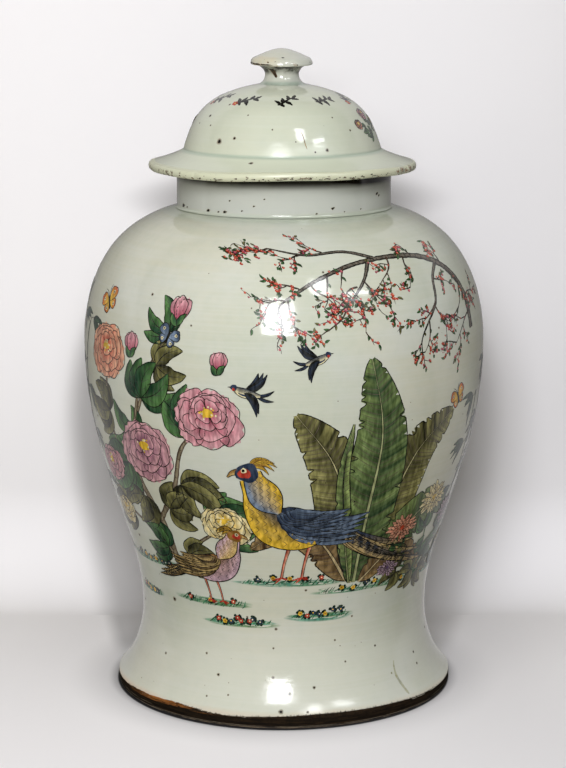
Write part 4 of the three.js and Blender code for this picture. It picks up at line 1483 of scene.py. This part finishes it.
swallows = Garden(jar_skin)
for turn, height, size, tilt, flip in [
    (-10, 240, 1.2, -12, False), (9, 262, 1.05, 18, True), (-150, 286, 1.0, 20, False),
    (165, 300, 0.9, -10, True),
]:
    swallow(swallows, turn, height, size, tilt, flip)
swallows.done("swallow_painting", enamel, "jar", "overglaze_enamel")


# Bamboo
# Jointed canes in thin green-grey, with pointed leaves in ink and dark green.
CANE_DARK, CANE_PALE = (0.050, 0.085, 0.038), (0.29, 0.35, 0.18)
BLADE_DARK, BLADE_PALE = (0.012, 0.032, 0.020), (0.048, 0.12, 0.055)


def bamboo(name, turn, canes):
    """Canes that grow joint by joint, with five leaves on a side shoot at each but the lowest two."""
    brush = Garden(jar_skin)
    brush.start(turn, 104)
    for foot, height, lean, thick in canes:
        y, at, joint = 0.0, complex(foot, 0), 0
        while y < height:
            brush.lift = 0.06
            length = 15 + 5 * math.sin(joint) + 0.05 * y
            tip = at + length * np.exp(1j * (math.pi / 2 - lean - 0.0016 * y))
            cane, widths = [at + 0.5j, (at + tip) / 2, tip - 0.5j], [thick, thick * 0.86, thick]
            end = form(brush, cane, widths, CANE_PALE, CANE_DARK, 0.5)[-1]
            brush.stroke([end[0] - 0.3, end[4] + 0.5j, end[-1] + 0.3], 0.9, INK, 0.95, 0.1, 0.1)
            way = -1 if (joint + int(foot)) % 2 else 1
            knee = tip + way * (7 + 3j)
            if joint > 1:
                brush.stroke([tip, tip + way * (4 + 3j), knee], 0.7, INK, 0.9)
                for drop in chance.uniform(-75, 5, 5):
                    blade = knee + way * np.exp(1j * way * math.radians(drop)) * chance.uniform(14, 24)
                    kind = {"bow": 0.08 * way, "veins": 0, "shape": 0.7, "line": 0.4}
                    brush.leaf(knee, blade, 4.0, BLADE_DARK, BLADE_PALE, **kind)
            y, at, joint, thick = y + length, tip, joint + 1, thick * 0.96
    brush.done(name, enamel, "jar", "overglaze_enamel")


bamboo("bamboo_right_painting", 76, [(0, 175, 0.03, 3.6), (10, 140, 0.09, 3.0), (-9, 105, -0.07, 2.6)])
bamboo("bamboo_left_painting", -88, [(0, 180, -0.05, 3.6), (14, 150, 0.02, 3.0), (-12, 110, -0.12, 2.6)])


# Berry branch
# A dark branch that reaches over the shoulder from the right, its hanging twigs set with red
# berries and small green leaves.
BARK = (0.17, 0.14, 0.11)


def twig(brush, start, heading, length, thick, order):
    """A crooked twig with finer twigs, leaves and berries at its bends. Order 0 has no finer twigs."""
    points, way = [start], heading
    for _ in range(4):
        way += chance.normal(0, 0.24)
        points.append(points[-1] + length / 4 * np.exp(1j * way))
    brush.stroke(points, thick, blend(INK, INK_BROWN, chance.random()), 0.93, 0.02, 0.9)
    for k in range(1, 5):
        off = chance.choice([-1, 1]) * chance.uniform(0.45, 0.95)
        if order and chance.random() < 0.72:
            twig(brush, points[k], way + off, length * chance.uniform(0.38, 0.62), thick * 0.7, order - 1)
        elif chance.random() < 0.5:
            ray = np.exp(1j * (way + off)) * chance.uniform(2.6, 4.8)
            kept = brush.lift
            tones = green if chance.random() < 0.7 else olive
            brush.leaf(points[k], points[k] + ray, 1.7, *tones, veins=0, line=0.3)
            brush.lift = kept
        if chance.random() < 0.42:
            berry = points[k] + chance.normal(0, 0.8) + 1j * chance.normal(0, 0.8)
            size = chance.uniform(0.6, 1.15)
            red = IRON_RED if chance.random() < 0.7 else ROSE
            brush.spot(berry, size, red, 0.96, ragged=0.12, above=0.012)
            brush.spot(berry + (0.3 + 0.3j) * size, size * 0.3, CORAL_PALE, 0.8, above=0.018)


berries = Garden(jar_skin, 0.06)
berries.start(42, 318)
bough = [60 - 52j, 56 - 26j, 40 - 6j, 16 + 6j, -12 + 9j, -42 + 5j, -72 - 6j, -98 - 20j]
berries.stem(bough, 5.6, INK, BARK, thin_to=0.22)
berries.stem([30 + 0j, 20 - 12j, 16 - 28j, 4 - 42j], 2.6, INK, BARK, thin_to=0.35)
berries.stem([-24 + 9j, -44 + 16j, -70 + 14j, -92 + 20j], 2.4, INK, BARK, thin_to=0.35)
berries.stem([-30 + 7j, -40 - 8j, -54 - 22j], 2.2, INK, BARK, thin_to=0.35)
berries.lift = 0.09
for start, heading, length in [
    (58 - 40j, 200, 30), (57 - 30j, 20, 20), (52 - 18j, 240, 26), (44 - 10j, 350, 22), (36 - 2j, 90, 14),
    (16 - 28j, 210, 22), (14 - 30j, 300, 24), (4 - 42j, 235, 28), (6 - 40j, 280, 22), (20 - 12j, 330, 18),
    (8 + 8j, 110, 12), (0 + 8j, 260, 24), (-14 + 9j, 250, 28), (-40 - 8j, 280, 24), (-54 - 22j, 230, 30),
    (-52 - 20j, 290, 24), (-46 - 12j, 200, 20), (-50 + 4j, 255, 18), (-64 - 2j, 240, 26),
    (-78 - 8j, 270, 26), (-86 - 12j, 150, 16), (-98 - 20j, 215, 30), (-96 - 18j, 260, 26),
    (-92 + 20j, 185, 24), (-90 + 19j, 215, 22), (-74 + 14j, 200, 18), (-58 + 16j, 160, 14),
    (-98 - 20j, 175, 22),
]:
    twig(berries, start, math.radians(heading), length, 1.35, 2)
berries.done("berry_branch_painting", enamel, "jar", "overglaze_enamel")


# Butterflies
# Small ones in yellow, coral and slate over the shrub and on the back.
def butterfly(brush, turn, height, size, tilt, deep, pale):
    """Two pairs of spread wings with an eye on each, a thin body and two feelers."""
    brush.start(turn, height, size, tilt)
    brush.lift = 0.12
    for way in (-1, 1):
        for ray, width in ((4.6 - 3.4j, 5.2), (6.4 + 4.6j, 6.6)):
            wing = complex(way * ray.real, ray.imag)
            brush.petal(0.3 * way + 0j, wing, width, pale, deep, line=0.6, notch=0.10)
            brush.spot(wing * 0.68, 0.9, CREAM, 0.95, above=0.012)
            brush.spot(wing * 0.68, 0.45, INK, 0.95, above=0.020)
        brush.stroke([0.2 * way + 3j, 1.4 * way + 6j, 3.0 * way + 7.6j], 0.45, INK, 0.95, 0.1, 0.1)
    brush.stroke([-4j, -1j, 3.4j], 2.0, INK, 0.96, 0.2, 0.2, above=0.03)


butterflies = Garden(jar_skin)
for turn, height, size, tilt, deep, pale in [
    (-60, 290, 1.5, 30, CORAL, YELLOW), (-33, 274, 1.25, -25, SLATE, SLATE_PALE),
    (58, 224, 1.3, 25, CORAL, YELLOW), (152, 262, 1.3, -30, CORAL, YELLOW),
    (-160, 258, 1.1, 20, SLATE, SLATE_PALE), (112, 280, 1.1, 10, YELLOW, CREAM),
    (-124, 282, 1.2, -15, MAUVE, CREAM),
]:
    butterfly(butterflies, turn, height, size, tilt, deep, pale)
butterflies.done("butterfly_painting", enamel, "jar", "overglaze_enamel")


# Ground strips
# Thin green washes under the plants, with blades of grass and clusters of tiny flowers.
TURQUOISE = (0.060, 0.30, 0.22)
MOSS = (0.045, 0.22, 0.105)
FLOWER_KINDS = (SLATE, CREAM), (SLATE, YELLOW), (IRON_RED, CREAM), (YELLOW, IRON_RED)
FIFTH_TURN = 1.257


def ground(brush, turn, height, wide, flowers):
    """One strip: three washes that overlap, short blades of grass, and tiny flowers on dark leaves."""
    brush.start(turn, height)
    for shift, reach, cover in ((0, 1.1, 0.80), (0.15, 0.75, 0.85), (-0.22, 0.65, 0.80)):
        brush.lift = 0.05 + 0.012 * abs(shift)
        tone = blend(TURQUOISE, LEAF_PALE, chance.random())
        middle = shift * wide + 1j * chance.normal(0, 0.8)
        brush.spot(middle, wide * reach / 2, tone, cover, 0.0, squash=5.5 / wide, ragged=0.05, above=0)
    for x in np.arange(-wide * 0.44, wide * 0.42, 1.6):
        lean, low = chance.uniform(1.0, 4.5), chance.uniform(-2.2, 0.8)
        tone = blend(LEAF_DARK, MOSS, chance.random())
        tip = x + lean + (low + chance.uniform(2.0, 4.0)) * 1j
        blade = [x + low * 1j, x + lean * 0.5 + (low + 1.4) * 1j, tip]
        brush.stroke(blade, 0.8, tone, 0.9, 0.1, 0.7, above=0.014)
    for x in np.linspace(-0.5, 0.5, flowers) * wide * 0.6:
        middle = x + chance.normal(0, 1.0) + 1j * chance.uniform(0.4, 4.0)
        for angle in chance.uniform(0, 2 * np.pi, 6):
            brush.spot(middle + 2.2 * np.exp(1j * angle), 1.1, BLADE_DARK, 0.95, above=0.022)
        petals, heart = FLOWER_KINDS[min(3, chance.integers(5))]
        for angle in np.arange(5) * FIFTH_TURN + chance.random():
            brush.spot(middle + 1.05 * np.exp(1j * angle), 0.75, petals, 0.95, above=0.03)
        brush.spot(middle, 0.55, heart, 0.97, above=0.038)


strips = Garden(jar_skin)
for turn, height, wide, flowers in [
    (-52, 104, 84, 8), (2, 101, 74, 5), (38, 93, 104, 8), (66, 92, 60, 5), (-28, 82, 58, 3),
    (-17, 69, 52, 8), (14, 75, 46, 7), (-92, 104, 80, 6), (128, 104, 88, 6), (178, 106, 94, 7),
    (-142, 104, 66, 5), (158, 72, 46, 7), (-64, 78, 36, 5),
]:
    ground(strips, turn, height, wide, flowers)
strips.done("ground_strip_painting", enamel, "jar", "overglaze_enamel")


# Flowers on the back
# A lighter group than the front: chrysanthemums in the middle and a peony shrub to one side.
back = Garden(jar_skin, 0.06)
back.start(178, 108, size=1.3)
for points in [
    [0j, -4 + 30j, -12 + 58j, -10 + 84j], [2 + 0j, 12 + 26j, 14 + 52j, 28 + 72j], [0j, 18 + 14j, 36 + 24j],
    [-2 + 0j, -20 + 16j, -34 + 34j],
]:
    back.stem(points, 1.8, *green)
back.lift = 0.09
for base, heading in [
    (-4 + 28j, 170), (-10 + 54j, 20), (8 + 20j, 10), (13 + 46j, 150), (22 + 62j, 0), (28 + 18j, 60),
    (-26 + 24j, 200), (-10 + 70j, 160), (0 + 8j, 120),
]:
    back.spray(base, heading, 4, 17, 8, green if heading < 100 else olive, veins=3)
back.lift = 0.15
for centre, radius, deep, pale in [
    (-10 + 88j, 13, YELLOW, CREAM), (29 + 75j, 12, CORAL, CORAL_PALE), (38 + 27j, 10, PURPLE, MAUVE_PALE),
    (-36 + 38j, 11, ROSE, ROSE_PALE),
]:
    chrysanthemum(back, centre, radius, deep, pale)
back.start(130, 104, size=1.3)
back.lift = 0.06
for points in [
    [0j, -4 + 26j, 4 + 52j, 0 + 80j], [1 + 0j, 16 + 18j, 24 + 40j], [-1 + 0j, -18 + 22j, -24 + 42j],
]:
    back.stem(points, 2.4)
back.lift = 0.09
for base, heading in [
    (2 + 48j, 160), (0 + 66j, 20), (14 + 18j, 340), (22 + 34j, 30), (-16 + 20j, 190), (-22 + 36j, 120),
    (-2 + 22j, 60),
]:
    back.spray(base, heading, 4, 19, 9, olive if heading < 100 else green, veins=3)
back.lift = 0.15
for centre, radius, deep, pale in [
    (0 + 86j, 14, ROSE, ROSE_PALE), (27 + 44j, 13, CORAL, CORAL_PALE), (-26 + 46j, 12, MAUVE, ROSE_PALE),
]:
    back.peony(centre, radius, deep, pale, lean=radius)
back.done("back_flower_painting", enamel, "jar", "overglaze_enamel")


# Sprigs on the cover
# Small sprigs in thick ink stand evenly round the dome, with a flowering spray at each side.
sprigs = Garden(cover_skin)
for k in range(10):
    sprigs.start(-33 + 36 * k, 425.2, size=1.3, tilt=16 * math.sin(2.3 * k))
    sprigs.lift = 0.06
    sprigs.stroke([-5 - 3j, -1 - 1.2j, 2 + 1j, 5.5 + 2.6j], 2.1, INK, 0.98, 0.1, 0.5)
    for root, ray in [
        (-2 - 1.5j, 1.0 + 4.6j), (0 - 0.6j, 2.6 - 4.2j), (2 + 0.8j, 0.2 + 4.4j), (3.6 + 1.8j, 3.8 - 2.2j),
        (-3.4 - 2.2j, -2.2 + 3.6j), (-3.6 - 2.4j, 1.8 - 2.6j), (4.6 + 2.2j, 2.0 + 2.6j),
    ]:
        sprigs.stroke([root, root + ray * 0.55 + 0.3, root + ray], 3.0, INK, 0.98, 0.25, 0.6)
    if k % 3 == 0:
        for angle in np.arange(5) * FIFTH_TURN:
            sprigs.spot(-5.5 - 3.4j + 1.1 * np.exp(1j * angle), 0.85, IRON_RED, 0.94, above=0.012)
        sprigs.spot(-5.5 - 3.4j, 0.5, YELLOW, 0.95, above=0.020)
for turn in (72, 192, -104):
    sprigs.start(turn, 398, size=0.85)
    sprigs.lift = 0.06
    for points in ([0j, -6 + 8j, -16 + 12j], [0j, 6 + 9j, 15 + 14j], [0j, 1 + 10j, 0 + 20j]):
        sprigs.stem(points, 1.0, *green)
    for base, heading in ((-8 + 9j, 200), (8 + 11j, 350), (0 + 14j, 60), (0 + 4j, 180)):
        sprigs.spray(base, heading, 3, 10, 4.6, green, veins=1, line=0.42)
    sprigs.lift = 0.12
    sprigs.peony(0 + 22j, 7, ROSE, ROSE_PALE)
    sprigs.peony(-18 + 13j, 5.5, CORAL, CORAL_PALE)
    sprigs.peony(17 + 15j, 5.5, YELLOW, CREAM)
sprigs.done("cover_sprig_painting", enamel, "cover", "overglaze_enamel")


# Studio
# A pale sweep of paper that bends up close behind the jar and takes its soft shadow, a dim room with
# a bright ceiling, one large soft lamp over the camera, a wide one to its left, and two windows that
# show only as reflections.
PAPER_LIT = (0.305, 0.285, 0.225)
# The camera sees the paper paler on the left and darker on the right: painted light and shade.
PAPER_LEFT_LIT = (0.965, 0.94, 0.965)
PAPER_RIGHT_SHADED = (0.87, 0.85, 0.875)
PAPER_SHINE = (0.86, 0.84, 0.85)
WALL_DEPTH = 0.225
WALL_BEND = 0.085
WALL_TOP = 1.4
WALL_REACH = 3.0
ROOM_SIDES = 0.02
ROOM_CEILING = 0.90
FLOOR_REACH = 40
FOOT_OPENING = 0.112
AIR_TINT = (1, 0.985, 0.94, 1)
AIR_SEEN = 0.78
AIR_BELOW = 0.75
AIM = Vector((0, 0, 0.24))
WARM = (1.0, 0.96, 0.84)
COOL = (0.985, 1.0, 1.03)
LAMPS = [
    ("front_softbox", -2.7, 23.5, 1.7, (0.50, 0.66), 23.5, COOL, True, True),
    ("left_fill", -38, 22, 2.2, (1.0, 1.0), 5.4, WARM, True, False),
    ("right_window", 26, 45, 1.9, (0.30, 0.46), 6.5, COOL, False, True),
    ("far_right_window", 48.5, 36, 2.0, (0.46, 0.22), 4.5, COOL, False, True),
]


def paper_finish(name, light_and_shade_of, shine_of, far_of=None):
    """Paper of one tone to the camera and of another to the light that it throws on the jar. Gloss sees
    a plain glow of it. It is clear from behind, and on the floor within the foot ring, so that views
    from below show the jar's base. Far off, the camera sees it plainly lit."""
    finish = Finish(name, Roughness=0.9, Specular_IOR_Level=0.0)
    camera, glossy = finish.node("LightPath", out=("Is Camera Ray", "Is Glossy Ray"))
    # Painted shade: to the camera the paper is darker on the right than on the left, then scaled by its
    # painted light and shade.
    shown = finish.mix(finish.step(finish.x, -0.25, 0.25), PAPER_LEFT_LIT, PAPER_RIGHT_SHADED)
    shown = finish.node("VectorMath", {"operation": "SCALE"}, shown, Scale=light_and_shade_of(finish))
    finish.feed(finish.shader, {"Base Color": finish.mix(camera, PAPER_LIT, shown)})
    outlet = finish.tree.nodes["Material Output"].inputs["Surface"]
    paper = Value(finish, finish.shader.outputs[0])
    if far_of:
        plain = finish.node("Emission", None, (*PAPER_SHINE, 1), 1.0)
        paper = finish.node("MixShader", None, far_of(finish) * camera, paper, plain)
    gleam = finish.node("VectorMath", {"operation": "SCALE"}, PAPER_SHINE, Scale=shine_of(finish))
    paper = finish.node("MixShader", None, glossy, paper, finish.node("Emission", None, gleam, 1.0))
    back = finish.node("NewGeometry", None, out="Backfacing")
    beyond = back.math("MAXIMUM", back, (finish.radius < FOOT_OPENING) * (finish.z < 0.001))
    both = finish.node("MixShader", None, beyond, paper, finish.node("BsdfTransparent"))
    finish.tree.links.new(both.socket, outlet)
    return finish


def stand(name, vertices, faces, finish):
    mesh = bpy.data.meshes.new(name)
    mesh.from_pydata(vertices, [], faces)
    mesh.polygons.foreach_set("use_smooth", [True] * len(faces))
    piece = bpy.data.objects.new(name, mesh)
    bpy.context.scene.collection.objects.link(piece)
    finish.wear(piece)


def floor_light_and_shade(finish):
    """Painted light and shade on the floor: it falls off towards the camera and is paler in the right-hand
    corner, and painted shadows darken it behind the jar, round its foot, and most where the foot stands on
    it."""
    # Painted shadows behind the jar, round the foot and in the thin line under its edge, and a painted
    # falloff of the light.
    shadow_behind = finish.step(abs(finish.x) - finish.y * 0.16, 0.126, 0.110) * finish.step(finish.y, 0.02, 0.08)
    right = finish.step(finish.x, -0.05, 0.05)
    contact_shadow = finish.step(finish.radius, 0.131, 0.121) * 0.36
    contact_shadow = contact_shadow + finish.step(finish.radius, 0.165, 0.118) * 0.24
    corner = finish.step(finish.x, 0.12, 0.24) * finish.step(finish.y, -0.20, 0.05)
    painted_falloff = (1 - finish.step(finish.y, 0.05, -0.30) * 0.12) * (corner * 0.12 + 1)
    ahead = abs(finish.y) / finish.radius
    shade_beneath = finish.step(finish.radius + right * 0.0010 - ahead * 0.0030, 0.1234, 0.1220) * 0.93
    painted_falloff = painted_falloff * (1 - shade_beneath)
    return (1 - shadow_behind * (right * -0.22 + 0.40)) * (1 - contact_shadow * (1 - right * 0.35)) * painted_falloff


def wall_light_and_shade(finish):
    """Painted shadow: the cores of the shadows of the belly and of the brim, darker than the wide lamp alone
    makes them. Painted light makes the paper paler low on the right and round the jar, and painted shade
    darker high on the right."""
    rise = finish.z - 0.145
    squash = rise * ((finish.z < 0.145) * (1 / 0.25 - 1 / 0.19) + 1 / 0.19)
    reach = (finish.x * finish.x * (1 / 0.177**2) + squash * squash) ** 0.5
    lift = (finish.z - 0.326) * (1 / 0.022)
    collar = (finish.x * finish.x * (1 / 0.112**2) + lift * lift) ** 0.5
    right = finish.step(finish.x, -0.05, 0.05)
    glow = finish.step(finish.z, 0.10, 0.26) * finish.step(abs(finish.x), 0.36, 0.20)
    belly_core = finish.step(reach, 1.06, 0.93) * (right * -0.22 + 0.40)
    low_corner = finish.step(finish.x, 0.14, 0.24) * finish.step(finish.z, 0.18, 0.04)
    high_corner = finish.step(finish.x, 0.10, 0.34) * finish.step(finish.z, 0.26, 0.40)
    painted_falloff = glow * (right * 0.02 + 0.05) + low_corner * 0.12 - high_corner * 0.09 + 1
    return (1 - belly_core) * (1 - finish.step(collar, 1.3, 0.7) * 0.38) * painted_falloff


def floor_shine(finish):
    """How brightly the floor shows in gloss: only the part behind the jar does."""
    return finish.step(finish.y, -0.03, 0.06) * 0.62


def floor_far(finish):
    """Where the floor is too far off to be lit as paper, and the camera sees it in one plain tone."""
    return finish.step(finish.radius, 0.6, 1.6)


def wall_shine(finish):
    """How brightly the wall shows in gloss: most above the jar, some near the floor, none high up."""
    glow = finish.step(finish.z, 0.36, 0.56) * 0.60 + finish.step(finish.z, 0.17, 0.09) * 0.30 + 0.30
    return glow * finish.step(finish.z, 0.95, 0.72)


corners = [(x * FLOOR_REACH, y * FLOOR_REACH, 0) for x, y in ((-1, -1), (1, -1), (1, 1), (-1, 1))]
floor_paper = paper_finish("paper_floor", floor_light_and_shade, floor_shine, floor_far)
stand("paper_floor", corners, [(0, 1, 2, 3)], floor_paper)
bend, _ = arc((WALL_DEPTH - WALL_BEND, WALL_BEND), WALL_BEND, -90, 0, 24)
profile = [*bend, (WALL_DEPTH, 0.3), (WALL_DEPTH, 0.6), (WALL_DEPTH, WALL_TOP)]
count = len(profile)
stand(
    "paper_wall",
    [(x * WALL_REACH, y, z) for x in (-1, 1) for y, z in profile],
    [(i, count + i, count + i + 1, i + 1) for i in range(count - 1)],
    paper_finish("paper_wall", wall_light_and_shade, wall_shine),
)


class Room(Finish):
    """The air of the room, built from nodes as a finish is. Its climb is how steeply a ray goes up."""

    def __init__(self, name):
        world = bpy.data.worlds.new(name)
        world.use_nodes = True
        bpy.context.scene.world = world
        self.tree = world.node_tree
        self.shader = self.tree.nodes["Background"]
        self.climb = self.node("SeparateXYZ", None, self.node("TexCoord", out="Generated"), out="Z")


room = Room("room")
camera, glossy = room.node("LightPath", out=("Is Camera Ray", "Is Glossy Ray"))
above = room.step(room.climb, 0.40, 1.0) * (ROOM_CEILING - ROOM_SIDES) + ROOM_SIDES
lit = camera.math("MAXIMUM", above * (1 - glossy), camera * AIR_SEEN)
below = room.step(room.climb, -0.05, -0.3) * AIR_BELOW
room.feed(room.shader, {"Color": AIR_TINT, "Strength": lit.math("MAXIMUM", lit, below)})

for name, azimuth, elevation, distance, size, power, tint, lights, shines in LAMPS:
    a, e = math.radians(azimuth), math.radians(elevation)
    towards = Vector((math.sin(a) * math.cos(e), -math.cos(a) * math.cos(e), math.sin(e)))
    lamp = bpy.data.objects.new(name, bpy.data.lights.new(name, "AREA"))
    lamp.data.shape = "RECTANGLE"
    lamp.data.size, lamp.data.size_y = size
    lamp.data.energy = power
    lamp.data.color = tint
    lamp.location = AIM + towards * distance
    lamp.rotation_mode = "QUATERNION"
    lamp.rotation_quaternion = towards.to_track_quat("Z", "Y")
    lamp.visible_camera = False
    lamp.visible_diffuse = lights
    lamp.visible_glossy = shines
    bpy.context.scene.collection.objects.link(lamp)

bpy.context.scene.view_settings.view_transform = "Standard"
